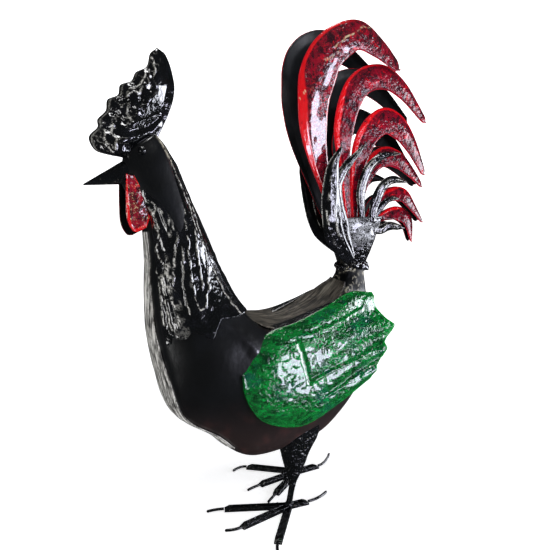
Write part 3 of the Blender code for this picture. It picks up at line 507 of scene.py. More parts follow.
def hammeredGreenEnamel(name):
    # emerald enamel over hammered sheet: patches of emerald, deep green and teal 10 to 25 mm long,
    # with white flecks, partly where the crests are rubbed and partly as painted glints
    paint, tree, shader, where = newPaint(name, gloss)
    shader.inputs["Roughness"].default_value = greenPaint["roughness"]
    shader.inputs["Coat Weight"].default_value = greenPaint["coat"]
    colour, _ = layCoats(tree, where, fromHex(greenPaint["ground"]), greenPaint["coats"])
    tree.links.new(colour, shader.inputs["Base Color"])
    dent(tree, shader, where, greenPaint["dentSize"], greenPaint["dents"])
    return paint


drumSteel = {
    "streaks": ((0, 0, 0), 3.5, 0.38, 0.62, 5, 0.65, 0.0, (0.12, 1, 1)),    # drawn out along the sheet
    "stain": ("1c1a19", 0.6, None, ((0, 0, 0), 14, 0.5, 0.62, 5)),
    "metallic": 0.15,
    "roughness": (0.34, 0.5),
    "depth": 0.0008,
    "strength": 0.6,
}


def wornDrumSteel(name, light, dark, pale):
    # bare drum steel under thinned paint: grey with dark and light streaks along the sheet
    paint, tree, shader, where = newPaint(name, {"Metallic": drumSteel["metallic"]})
    sheetwise = addNode(tree, "ShaderNodeUVMap", uv_map="alongAcross").outputs[0]
    streak = cloud(tree, sheetwise, *drumSteel["streaks"])
    colour, _ = layCoats(tree, where, fromHex(dark), (
        (light, 1.0, streak), drumSteel["stain"], (pale, 1.0, "wear")))
    smooth, rough = drumSteel["roughness"]
    roughness = addNode(tree, "ShaderNodeMapRange", {"Value": streak, "To Min": smooth, "To Max": rough})
    bump = addNode(tree, "ShaderNodeBump", {"Height": streak, "Distance": drumSteel["depth"],
                                            "Strength": drumSteel["strength"]})
    tree.links.new(colour, shader.inputs["Base Color"])
    tree.links.new(roughness.outputs[0], shader.inputs["Roughness"])
    tree.links.new(bump.outputs[0], shader.inputs["Normal"])
    return paint


body = {
    # each row: back point x z, front point x z, half widths of back and front plates, side swell,
    # swell of back and front
    "rows": (
        (-28.6, 78.1, -35.0, 74.3, 1.1, 0.9, 1.3, 0.4, 0.3),
        (-26.8, 75.7, -35.6, 70.2, 1.6, 1.2, 2.2, 0.5, 0.3),
        (-25.2, 72.2, -34.4, 66.9, 1.6, 1.2, 2.8, 0.6, 0.3),
        (-23.0, 66.4, -32.2, 63.4, 1.7, 1.3, 3.3, 0.6, 0.4),
        (-19.9, 59.4, -31.6, 56.4, 2.0, 1.7, 3.8, 0.6, 0.5),
        (-17.4, 52.6, -31.8, 48.1, 2.6, 2.4, 4.1, 0.5, 0.7),
        (-14.8, 46.4, -31.6, 40.6, 4.5, 3.6, 3.8, 0.3, 0.8),
        (-11.3, 41.2, -30.1, 32.1, 7.1, 5.3, 3.4, -0.4, 1.0),
        (-6.7, 39.8, -27.4, 23.9, 7.9, 6.3, 3.2, -0.6, 1.0),
        (-2.9, 39.6, -20.4, 18.4, 8.2, 6.6, 3.4, -0.6, 1.2),
        (0.4, 40.2, -13.6, 12.7, 8.0, 6.3, 3.7, -0.6, 1.3),
        (2.9, 41.0, -5.2, 12.2, 7.5, 5.8, 3.6, -0.6, 1.3),
        (5.2, 42.1, 3.0, 13.8, 6.6, 5.3, 3.2, -0.5, 1.2),
        (7.2, 43.4, 9.4, 18.1, 5.5, 4.7, 2.6, -0.4, 1.0),
        (8.9, 45.1, 14.5, 23.8, 4.5, 3.9, 2.1, -0.3, 0.8),
        (10.2, 46.5, 17.4, 30.9, 3.4, 3.2, 1.6, -0.1, 0.5),
        (10.9, 48.0, 17.4, 39.1, 2.5, 2.4, 1.0, 0.0, 0.4),
        (11.4, 50.0, 16.2, 49.2, 2.0, 1.8, 0.5, 0.1, 0.1),
    ),
    "sideRoundness": 0.6,
    "stations": 231,
    "steps": (26, 60, 26, 60),      # across back, left side, front and right side
    "crown": 1.0,                   # height of the rounded end of the head
    "slopeSteps": (0.08, 0.05),     # rows and places over which the skin's slopes are taken
    "seamPasses": 5,
    "headRings": 10,
    "stemRings": 3,
    "dents": ((0.0009, 0.055, 3), (0.00018, 0.016, 4)),
    "shoulder": ((-19.5, 43.5), (-17.0, 41.6), (-15.0, 39.8), (-13.1, 37.0)),
    "shoulderRidge": (0.0022, 0.009),       # height and half width
    "wrinkles": (((10.7, 50.7), (7.8, 48.8), (6.4, 47.2), (5.5, 44.0), (2.9, 41.1)),
                 ((11.7, 50.2), (9.6, 47.1), (8.2, 44.2)),
                 ((6.7, 47.6), (7.4, 46.5), (6.5, 44.4), (4.6, 42.8))),
    "wrinkleRidge": (0.0022, 0.0035),
    "wrinkleWear": 0.0012,
    "stemFrom": ((7.0, 11.5), (42.0, 46.0)),    # the stem starts between these x and these z
    "stemLumps": (0.0005, 0.010, 6),
    "stemGrain": (0.0002, 0.005, 7),
    "seam": (0.0005, 0.035),        # height and half width, as a share of a plate
    "nape": ((-28.8, 77.7), (-26.9, 73.4), (-25.7, 69.8), (-24.2, 66.0), (-22.8, 60.2), (-20.4, 54.3),
             (-18.2, 48.7), (-15.0, 44.2)),
    "napeRidge": (0.0008, 0.0011),
}


def sectionPoint(row, place):
    # places run 0 to 1 across the back plate, 1 to 2 down the left side, 2 to 3 across the front
    # plate and 3 to 4 up the right side; sides swell by (4t(1-t)) to the power of their roundness
    values = smoothCurve(onFigure(body["rows"]), row)
    back = values[..., 0:2]
    front = values[..., 2:4]
    backHalf, frontHalf, sideSwell, backSwell, frontSwell = (values[..., 4 + n] for n in range(5))
    depth = front - back
    outwards = depth / np.linalg.norm(depth, axis=-1, keepdims=True)
    edge = np.floor(place).astype(int) % 4
    part = place - np.floor(place)
    down = np.select([edge == 0, edge == 1, edge == 2], [0 * part, part, 0 * part + 1], 1 - part)
    belly = sideSwell * (4 * down * (1 - down)) ** body["sideRoundness"]
    side = backHalf * (1 - down) + frontHalf * down + belly
    across = np.select([edge == 0, edge == 1, edge == 2],
                       [backHalf * (1 - 2 * part), -side, frontHalf * (2 * part - 1)], side)
    crown = 4 * part * (1 - part)
    swell = np.select([edge == 0, edge == 2], [-backSwell * crown, frontSwell * crown], 0.0)
    setBack = np.where(down > 0.5, -frontSwell, backSwell) * rise(np.abs(down - 0.5), 0, 0.5)
    flat = back + depth * down[..., None] + outwards * (swell + setBack)[..., None]
    return np.stack((flat[..., 0], across, flat[..., 1]), axis=-1)


def skinPoints(row, place, lift=0.0):
    # body surface moved out by lift, along the cross product of its two slopes
    row, place, lift = np.broadcast_arrays(*(np.asarray(value, float) for value in (row, place, lift)))
    last = len(body["rows"]) - 1
    down, aside = body["slopeSteps"]
    below = sectionPoint(np.minimum(row + down, last), place)
    above = sectionPoint(np.maximum(row - down, 0), place)
    around = sectionPoint(row, place + aside) - sectionPoint(row, place - aside)
    normal = np.cross(around, below - above)
    normal /= np.linalg.norm(normal, axis=-1, keepdims=True)
    return sectionPoint(row, place) + normal * lift[..., None]


def sideMask(points):
    # 0 at the middle of the figure and 1 on its sides
    return rise(np.abs(points[..., 1]), onFigure(1.5), onFigure(3.0))


def makeBody():
    # rings of the section from head to stem with relief along their normals; at both ends rings
    # shrink by the cosine and move out by the sine of a quarter turn
    rows = np.linspace(0, len(body["rows"]) - 1, body["stations"])
    places = np.concatenate([edge + np.arange(steps) / steps for edge, steps in enumerate(body["steps"])])
    points = evenedAcross(skinPoints(rows[:, None], places[None, :]), body["seamPasses"], True)
    quarter = np.linspace(0.1, 0.97, body["headRings"])[:, None, None] * math.pi / 2
    ends = []
    for ring, inner in ((points[0], points[3]), (points[-1], points[-4])):
        outwards = ring.mean(axis=0) - inner.mean(axis=0)
        outwards /= np.linalg.norm(outwards)
        ends.append(ring.mean(axis=0) + (ring - ring.mean(axis=0)) * np.cos(quarter)
                    + outwards * onFigure(body["crown"]) * np.sin(quarter))
    points = np.concatenate((ends[0][::-1], points, ends[1][:body["stemRings"]]))
    rowNumber = np.concatenate((np.zeros(body["headRings"]), rows, np.full(body["stemRings"], rows[-1])))
    rowNumber = rowNumber[:, None]
    height, width = body["shoulderRidge"]
    relief = lumps(points, body["dents"])
    relief = relief + height * lineRidge(points, body["shoulder"], width) * sideMask(points)
    height, width = body["wrinkleRidge"]
    folds = ridges(points, body["wrinkles"], width)
    relief = relief + height * folds - 0.0008 * rise(folds, 0.02, 0.3)
    # the tail stem is hammered and rubbed in thin lines where the lumps cross one height
    stem = 1.0
    for axis, span in zip((0, 2), body["stemFrom"]):
        stem = stem * rise(points[..., axis], *onFigure(span))
    height, cell, seed = body["stemLumps"]
    hammered = lumpNoise(points, cell, seed)
    relief = relief + stem * (height * hammered + lumps(points, [body["stemGrain"]]))
    stemLines = stem * np.exp(-((hammered - 0.2) / 0.08) ** 2)
    # raised weld seams on the head and neck, between the side plates and the back and at the nape
    height, width = body["seam"]
    seam = np.exp(-(np.minimum(np.abs(places - 1), np.minimum(places, 4 - places)) / width) ** 2)[None, :]
    seam = seam * (1 - rise(rowNumber, 4.5, 6.5))
    relief = relief + height * seam
    height, width = body["napeRidge"]
    napeLine = lineRidge(points, body["nape"], width) * rise(5.0 - rowNumber, 0, 1.5)
    relief = relief + height * napeLine
    wear = 0.3 * seam + napeLine + ridges(points, body["wrinkles"], body["wrinkleWear"]) + 0.8 * stemLines
    return makePiece("body_shell", points + gridNormals(points) * relief[..., None], "body",
                     [bodyBlack], marks={"wear": np.clip(wear, 0, 1), "stem": stem})


plates = {
    "stations": 190,
    "across": 44,
    "spine": 20,        # the column along which the plate is measured
    "fade": 0.06,
    # rows of the body and place on it, direction it faces, how far its grooves are drawn out, their
    # noises and depth, and the heights between which they are rubbed bright
    "breast_panel": ((3.5, 9.5), 2.0, (-1.0, 0.0, -0.3), 8, ((1.0, 0.006, 11), (0.5, 0.003, 12)), 0.0006,
                     (0.5, 0.9)),
    "saddle_panel": ((7.0, 15.5), 0.0, (0.3, 0.0, 1.0), 10, ((1.0, 0.009, 21), (0.4, 0.004, 22)), 0.0007,
                     (0.75, 1.1)),
}


def makePlate(node, finish):
    # the body's skin lifted by a gap and a sheet, with long grooves: noise drawn out along the plate
    rows, firstPlace, outside, drawnOut, noises, depth, rubbed = plates[node]
    along = np.linspace(*rows, plates["stations"])
    share = np.linspace(0, 1, plates["across"])
    places = np.clip(firstPlace + share, firstPlace + 1e-4, firstPlace + 1 - 1e-4)
    points = skinPoints(along[:, None], places[None, :], figure["gap"] + figure["sheet"])
    steps = np.linalg.norm(np.diff(points[:, plates["spine"]], axis=0), axis=1)
    lengths = np.broadcast_to(np.concatenate(([0], np.cumsum(steps)))[:, None], points.shape[:2])
    widths = np.linalg.norm(points[:, -1] - points[:, 0], axis=1)
    flat = np.stack((lengths, (share - 0.5) * widths[:, None]), axis=-1)
    grooves = lumps(np.stack((flat[..., 0] / drawnOut, flat[..., 1], 0 * lengths), axis=-1), noises)
    wear = rise(grooves, *rubbed) * rise(share, 0, plates["fade"]) * rise(1 - share, 0, plates["fade"])
    points = points + gridNormals(points, outside) * (depth * grooves)[..., None]
    return makePiece(node + "_plate", points, node, [finish], outside, {"wear": wear}, flat)


cape = {
    # upper edge: places from the throat to the middle of the back, and the body rows there
    "topEdge": ((0.0, 1.9), (0.22, 1.6), (0.36, 2.6), (0.50, 3.5), (0.62, 3.3), (0.76, 2.9),
                (0.86, 2.0), (1.0, 1.0)),
    # hem: places from the throat to the middle of the back, and the body rows that it reaches there
    "hem": ((0.0, 5.95), (0.04, 6.15), (0.09, 6.30), (0.12, 6.10), (0.19, 6.15), (0.28, 6.24), (0.36, 6.12),
            (0.48, 6.36), (0.53, 6.52), (0.60, 6.36), (0.70, 6.14), (0.82, 6.28), (0.96, 6.38), (1.5, 6.45)),
    "opening": 0.06,
    "clearance": 0.0006,
    "sunk": 0.0010,                 # depth of the upper edge below the skin
    "flare": 0.0012,
    "pleat": 0.0012,
    "pleatSteps": (7, 4),           # half pleats on a side and on the back
    "stations": 176,
    "perStep": 15,
    "ridgeWidth": 0.0016,
    "wornWidth": 0.0007,
    "lineHeight": 0.0012,
    "strokeHeight": 0.0015,
    "foldHeight": 0.0014,
    "foldStep": 0.012,              # metres of sheet to a half pleat
    "foldCell": (0.045, 0.0075),    # folds are drawn out along the neck
    "dents": ((0.0007, 0.011, 32), (0.0003, 0.005, 33)),
    "dentsKept": (0.15, 0.2),       # share of each that stays on the smooth part
    "smooth": (0.80, 0.19),         # middle and half width of the smooth part behind the ear
    "bulge": (-23.2, 46.6, 0.0025, 0.012),      # place, height and half width
    "lines": (((-26.7, 60.0), (-27.7, 55.4), (-28.5, 48.0), (-27.6, 42.8)),
              ((-31.3, 59.6), (-31.1, 54.9), (-30.3, 52.3), (-30.2, 47.8), (-30.0, 43.1)),
              ((-25.2, 65.3), (-25.0, 58.9), (-24.8, 53.4), (-24.3, 47.8), (-23.6, 46.0), (-22.6, 46.4),
               (-21.4, 50.2), (-21.3, 56.7), (-22.5, 62.3), (-24.2, 67.8)),
              ((-29.1, 55.5), (-28.7, 47.9), (-27.5, 43.9)),
              ((-31.2, 66.3), (-30.3, 65.4), (-30.8, 63.5), (-30.0, 60.7), (-30.6, 57.8), (-29.8, 54.9)),
              ((-29.5, 68.2), (-28.1, 66.3), (-27.9, 64.1), (-28.4, 61.9)),
              ((-26.0, 57.5), (-26.3, 51.0), (-25.6, 45.2)), ((-29.9, 52.0), (-29.4, 46.0), (-28.9, 42.4)),
              ((-23.4, 60.5), (-23.0, 54.5), (-22.6, 49.8)), body["nape"]),
    "strokes": (((-33.3, 72.2), (-31.9, 71.4), (-30.3, 70.0)), ((-31.4, 69.1), (-29.6, 67.8), (-28.2, 65.8)),
                ((-30.1, 67.7), (-28.7, 66.3), (-27.8, 64.5), (-27.5, 61.1))),
}


def makeCape():
    # the body's skin lifted into a sleeve open at the throat, its rows running from the upper edge
    # to a ragged hem, with cosine pleats, feather lines, lengthwise folds and dents
    sideSteps, backSteps = cape["pleatSteps"]
    side = np.linspace(0, 1, sideSteps * cape["perStep"] + 1)
    back = np.linspace(0, 1, backSteps * cape["perStep"] + 1)[1:-1]
    fromThroat = cape["opening"] + (1 - cape["opening"]) * side
    places = np.concatenate((2 - fromThroat, 1 - back, 3 + fromThroat[::-1]))
    fromFront = np.concatenate((fromThroat, 1 + np.minimum(back, 1 - back), fromThroat[::-1]))
    step = np.concatenate((side * sideSteps, sideSteps + back * backSteps,
                           2 * sideSteps + backSteps - side[::-1] * sideSteps))
    pleat = (1 - np.cos(math.pi * step)) / 2
    top = readKnots(cape["topEdge"], np.minimum(fromFront, 1.0))
    share = np.linspace(0, 1, cape["stations"])[:, None]
    rows = top + (readKnots(cape["hem"], fromFront) - top) * share
    # the upper edge is ground down into the head, and the hem stands off the body
    sunk = -cape["sunk"]
    lift = sunk + (cape["clearance"] + figure["sheet"] - sunk) * rise(share, 0, 0.2)
    lift = lift + cape["flare"] * rise(share, 0.5, 1) + cape["pleat"] * pleat * rise(share, 0.1, 0.4)
    points = evenedAcross(skinPoints(rows, places[None, :], lift), 3, False)
    drawn = np.clip(ridges(points, cape["lines"], cape["ridgeWidth"]), 0, 1)
    strokes = np.clip(ridges(points, cape["strokes"], cape["ridgeWidth"]), 0, 1)
    lengths = np.linalg.norm(np.diff(points, axis=0), axis=-1)
    along = np.concatenate((np.zeros((1, lengths.shape[1])), np.cumsum(lengths, axis=0)))
    flat = np.stack((along, np.broadcast_to(step * cape["foldStep"], along.shape)), axis=-1)
    folds = lumpNoise(np.concatenate((flat / cape["foldCell"], 0 * flat[..., :1]), axis=-1), 1.0, 31)
    middle, width = cape["smooth"]
    smoothPart = np.exp(-((fromFront - middle) / width) ** 2)
    throat = 1 - rise(fromFront, 0.25, 0.5)
    height = cape["lineHeight"] * drawn + cape["strokeHeight"] * strokes
    height = height + cape["foldHeight"] * folds * (1 - smoothPart) * (0.6 + 0.7 * throat)
    for layer, kept in zip(cape["dents"], cape["dentsKept"]):
        height = height + lumps(points, [layer]) * (1 - (1 - kept) * smoothPart)
    x, z, bulgeHeight, width = cape["bulge"]
    away = (points[..., 0] - onFigure(x)) ** 2 + (points[..., 2] - onFigure(z)) ** 2
    height = height + bulgeHeight * np.exp(-away / width ** 2)
    fade = rise(share, 0.02, 0.16)
    outwards = points - points.mean(axis=1, keepdims=True)      # from the neck's middle line
    outwards /= np.linalg.norm(outwards, axis=-1, keepdims=True)
    points = points + outwards * (height * fade)[..., None]
    # worn along dotted lines, on the strokes and on the crests of the folds; the pale crests, broadest at
    # the throat, are partly worn steel and partly painted reflection
    dotted = rise(lumpNoise(points, 0.0035, 34), -0.35, -0.05)
    crestWearAndSheen = rise(folds, 0.62 - 0.5 * throat, 0.8 - 0.4 * throat)
    crestWearAndSheen = crestWearAndSheen * rise(lumpNoise(points, 0.006, 35), -0.1, 0.3)
    crestWearAndSheen = crestWearAndSheen * (0.35 + 0.65 * throat) * (1 - 0.8 * rise(share, 0.7, 0.9))
    lines = np.clip(ridges(points, cape["lines"], cape["wornWidth"]), 0, 1)
    wear = np.clip(lines * dotted + strokes ** 4 * 0.9 + 0.6 * crestWearAndSheen * (1 - smoothPart), 0, 1) * fade
    return makePiece("hackle_cape_sheet", points, "hackle_cape", [capeBlack],
                     (1.0, 0.0, 0.3), {"wear": wear}, flat)


comb = {
    "front": ((-35.5, 74.0), (-37.1, 74.3), (-39.3, 74.9), (-40.3, 75.7), (-40.9, 77.1), (-40.6, 78.1),
              (-39.3, 79.3), (-39.2, 80.7), (-37.7, 82.2), (-37.3, 84.1), (-35.4, 85.0), (-34.9, 86.7),
              (-32.9, 87.5), (-32.0, 89.0), (-30.0, 90.1), (-29.3, 92.3), (-28.1, 93.3)),
    "back": ((-35.2, 73.9), (-32.2, 74.3), (-29.4, 75.9), (-27.8, 78.7), (-26.4, 81.4), (-25.3, 84.3),
             (-25.0, 86.8), (-25.6, 90.0), (-26.5, 92.2), (-27.3, 92.9), (-28.1, 93.4)),
    "rim": 0.004,
    "swell": 3.7,
    # share of the swell across, from the front edge: a slope behind the middle mirrors the window
    "puff": ((0.0, 0.0), (0.06, 0.42), (0.15, 0.72), (0.30, 0.94), (0.45, 1.0), (0.56, 0.92), (0.82, 0.36),
             (0.93, 0.28), (0.985, 0.24), (1.0, 0.0)),
    "stations": 190,
    "across": 80,
    "creases": (((-36.4, 80.4), (-34.9, 79.2), (-32.8, 80.0), (-30.8, 80.8), (-28.3, 82.0)),
                ((-35.3, 78.6), (-33.5, 79.2), (-30.9, 80.2), (-28.7, 81.0)),
                ((-33.9, 83.6), (-34.4, 81.9), (-33.4, 80.4)),
                ((-38.2, 79.0), (-38.5, 77.4), (-37.9, 75.9), (-37.2, 74.9)),
                ((-36.9, 79.8), (-37.2, 78.4), (-36.4, 77.2), (-36.8, 75.6)),
                ((-29.3, 91.6), (-28.7, 89.8), (-29.2, 88.2)),
                ((-33.6, 86.2), (-32.3, 86.3), (-31.2, 87.5), (-30.6, 88.6)),
                ((-34.2, 84.8), (-33.0, 85.6), (-31.9, 85.3), (-31.4, 86.4))),
    "flutes": (((-30.0, 90.1), (-29.2, 88.6), (-29.9, 86.0)), ((-33.0, 87.4), (-31.9, 85.9), (-31.5, 83.6)),
               ((-35.5, 85.0), (-34.3, 83.9), (-33.4, 82.2)), ((-37.8, 82.2), (-36.2, 81.8), (-35.3, 80.4)),
               ((-39.5, 79.3), (-38.0, 79.2), (-36.6, 78.2))),
    "band": ((-35.6, 77.0), (-33.0, 77.4), (-30.0, 78.3), (-28.4, 79.8)),
    "dents": ((0.0013, 0.013, 41), (0.0008, 0.0065, 42)),
    "creaseRidge": (0.0015, 0.0016),        # height and half width
    "fluteRidge": (-0.0040, 0.0042),
    "bandRidge": (0.0030, 0.006),
    "wornWidth": 0.0007,
}


def makeComb():
    # two sheets puffed apart and welded along their rim: points go from the scalloped front edge to
    # the back one, and stand off the middle plane by half the rim and the share of the swell there
    shares = np.linspace(0, 1, comb["stations"])
    front = alongPath(onFigure(comb["front"]), shares)
    back = alongPath(onFigure(comb["back"]), shares)
    across = (1 - np.cos(np.linspace(0, math.pi, comb["across"]))) / 2
    flat = front[:, None] + (back - front)[:, None] * across[None, :, None]
    width = np.linalg.norm(back - front, axis=1)[:, None]
    full = np.minimum(1.0, width / width.max() * 1.3)
    half = comb["rim"] / 2 + onFigure(comb["swell"]) / 2 * full * readKnots(comb["puff"], across)
    inside = rise(across, 0.0, 0.12) * rise(1 - across, 0.0, 0.12)
    halves = []
    for side in (-1, 1):
        points = np.stack((flat[..., 0], side * half, flat[..., 1]), axis=-1)
        relief = lumps(points, comb["dents"]) * (1 - 0.85 * rise(across, 0.45, 0.62))
        for lines, ridge in ((comb["creases"], comb["creaseRidge"]), (comb["flutes"], comb["fluteRidge"]),
                             ([comb["band"]], comb["bandRidge"])):
            relief = relief + ridge[0] * ridges(points, lines, ridge[1])
        points[..., 1] += side * relief * inside
        halves.append(points)
    points = np.concatenate((halves[0], halves[1][:, ::-1]), axis=1)
    creases = np.clip(ridges(points, comb["creases"][2:], comb["wornWidth"]), 0, 1)
    rimLine = np.concatenate((across, across[::-1]))[None, :]
    frontRim = np.exp(-((rimLine - 0.03) / 0.012) ** 2) * 0.35
    # thin wandering lines where a lump noise crosses a level, on the front half
    contour = np.exp(-((lumpNoise(points, 0.009, 43) - 0.15) / 0.03) ** 2) * 0.6
    contour = contour * np.exp(-((rimLine - 0.3) / 0.20) ** 2)
    wear = np.clip(creases + frontRim + contour, 0, 1)
    return makePiece("comb_shell", points, "comb", [combBlack], marks={"wear": wear})


beak = {
    "tip": (-42.4, 69.2),
    "root": (-35.7, 70.9),
    "diameter": 3.8,
    "rootDepth": 1.6,
    "stations": 40,
    "around": 48,
    "dents": (0.0004, 0.012, 51),
}


def makeBeak():
    # rolled cone: its radius falls in a straight line to a blunt tip, with slight hammer flats
    tip, root = onFigure(beak["tip"]), onFigure(beak["root"])
    inwards = (root - tip) / np.linalg.norm(root - tip)
    root = root + inwards * onFigure(beak["rootDepth"])
    length = np.linalg.norm(root - tip)
    radius = onFigure(beak["diameter"]) / 2 * length / (length - onFigure(beak["rootDepth"]))
    share = np.linspace(0, 1, beak["stations"])[:, None] ** 1.3
    turn = np.linspace(0, 2 * math.pi, beak["around"], endpoint=False)[None, :]
    size = figure["sheet"] / 2 * np.minimum(1, share * 60) ** 0.5 + (radius - figure["sheet"] / 2) * share
    lift = np.array((-inwards[1], inwards[0]))
    flat = (tip + (root - tip) * share[..., None] + lift * (size * np.sin(turn))[..., None])
    points = np.stack((flat[..., 0], size * np.cos(turn), flat[..., 1]), axis=-1)
    points = points + gridNormals(points) * (lumps(points, [beak["dents"]]) * share)[..., None]
    return makePiece("beak_cone", points, "beak", [partsBlack])


eyes = {"place": (-32.1, 75.2), "diameter": 0.012, "around": 40, "rings": 16}


def makeEye(side, label):
    # domed rivet: rings shrink by the cosine of a half turn around a line out of the head
    low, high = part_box("eye_" + label)
    x, z = onFigure(eyes["place"])
    radius = eyes["diameter"] / 2
    outer = (high.y if side > 0 else low.y) - figureShift[1] - side * radius
    tilt = np.linspace(-0.25, 0.5, eyes["rings"])[:, None] * math.pi
    turn = np.linspace(0, 2 * math.pi, eyes["around"], endpoint=False)[None, :]
    points = np.stack((x + radius * np.cos(tilt) * np.cos(turn),
                       outer + side * radius * np.sin(tilt) + 0 * turn,
                       z + radius * np.cos(tilt) * np.sin(turn)), axis=-1)
    return makePiece("eye_" + label + "_dome", points, "eye_" + label, [partsBlack])


wattles = {
    "front": ((-35.3, 71.1), (-35.5, 66.5), (-35.4, 62.9), (-34.4, 60.8), (-33.3, 60.5)),
    "back": ((-33.8, 70.7), (-32.3, 68.2), (-31.0, 66.1), (-30.8, 63.9), (-31.8, 61.2)),
    "spread": 5.8,
    "toeIn": 1.1,
    "dish": 0.5,
    "drop": {-1: 0.0, 1: 1.3},
    "rimWidth": 0.16,
    "rimHeight": 0.0012,
    "stations": 90,
    "across": 40,
    "dents": (0.0007, 0.006, 61),
}


def makeWattle(side, label):
    # hanging sheet, dished by 4t(1-t) across, with a rolled rim: a bell of relief along the outline
    shares = np.linspace(0, 1, wattles["stations"])
    drop = onFigure((0.0, wattles["drop"][side]))
    front = alongPath(onFigure(wattles["front"]), shares) - drop
    back = alongPath(onFigure(wattles["back"]), shares) - drop
    across = (1 - np.cos(np.linspace(0, math.pi, wattles["across"]))) / 2
    flat = front[:, None] + (back - front)[:, None] * across[None, :, None]
    lean = onFigure(wattles["spread"] - wattles["toeIn"] * shares) / 2
    fullness = np.sin(math.pi * np.clip(shares, 0.05, 0.95))[:, None]
    bulge = onFigure(wattles["dish"]) * 4 * across * (1 - across) * fullness
    edge = np.minimum(np.minimum(across, 1 - across)[None, :], (1 - shares)[:, None] * 1.2)
    rim = np.exp(-((edge - wattles["rimWidth"] * 0.45) / (wattles["rimWidth"] * 0.4)) ** 2)
    points = np.stack((flat[..., 0], 0 * flat[..., 0], flat[..., 1]), axis=-1)
    height = wattles["rimHeight"] * rim + lumps(points, [wattles["dents"]], side) * (1 - rim)
    points[..., 1] = side * (lean[:, None] + bulge + figure["sheet"] + height)
    marks = {"strip": rise(rim, 0.3, 0.7), "rim": 0 * rim, "wear": 0 * rim}
    return makePiece("wattle_" + label + "_sheet", points, "wattle_" + label,
                     [wattleRed, backBlack], (0.0, side, 0.0), marks)


wings = {
    "low": ((-16.2, 32.5), (-15.7, 28.4), (-13.2, 23.8), (-8.6, 21.2), (-2.6, 20.6), (4.6, 23.7),
            (12.3, 28.1)),
    "high": ((-16.2, 33.0), (-15.0, 35.2), (-12.5, 38.4), (-8.9, 40.4), (-3.5, 41.4), (3.5, 43.7),
             (9.6, 45.9), (15.9, 45.1)),
    "reach": ((0.0, 0.0), (0.11, 1.2), (0.16, 1.0), (0.25, 2.6), (0.35, 3.3), (0.41, 2.7), (0.52, 4.5),
              (0.61, 5.1), (0.69, 3.0), (0.8, 1.1), (0.9, 0.0), (0.96, 0.3), (1.0, 0.0)),
    "tips": (0.11, 0.35, 0.61, 0.96),
    "plane": 11.3,
    "dome": 1.6,
    "lean": 2.1,
    "rearLean": 3.7,
    "drop": {-1: 0.0, 1: 1.6},
    "turnIn": 2.6,
    "ridge": 0.0025,
    "ribStart": 0.45,
    "rimFade": (0.45, 0.8),
    "stations": 170,
    "across": 120,
    "groove": ((-4.6, 38.3), (-4.2, 37.7), (-3.3, 34.8), (-2.6, 32.0), (-2.0, 29.6)),
    "ribs": (((-1.2, 30.0), (3.4, 31.2), (7.4, 32.1), (13.4, 34.0)),
             ((1.2, 25.8), (4.7, 27.2), (8.7, 29.1), (14.8, 31.4)),
             ((-6.3, 38.8), (-1.3, 38.9), (4.4, 40.1), (12.0, 42.4))),
    "dents": ((0.0005, 0.013, 0), (0.0003, 0.0065, 5), (0.00015, 0.0045, 9)),
    "grooveRidge": (-0.0030, 0.0030),       # height and half width
    "ribHeight": 0.0012,
    "ribWidths": (0.0022, 0.003),           # of the rib, and of the hollow above it
    "ribHollow": 0.005,                     # how far above the rib the hollow lies
    "rolled": (0.15, 0.4, 0.7, 1.0),        # shares of the turned rim's depth, step by step
}


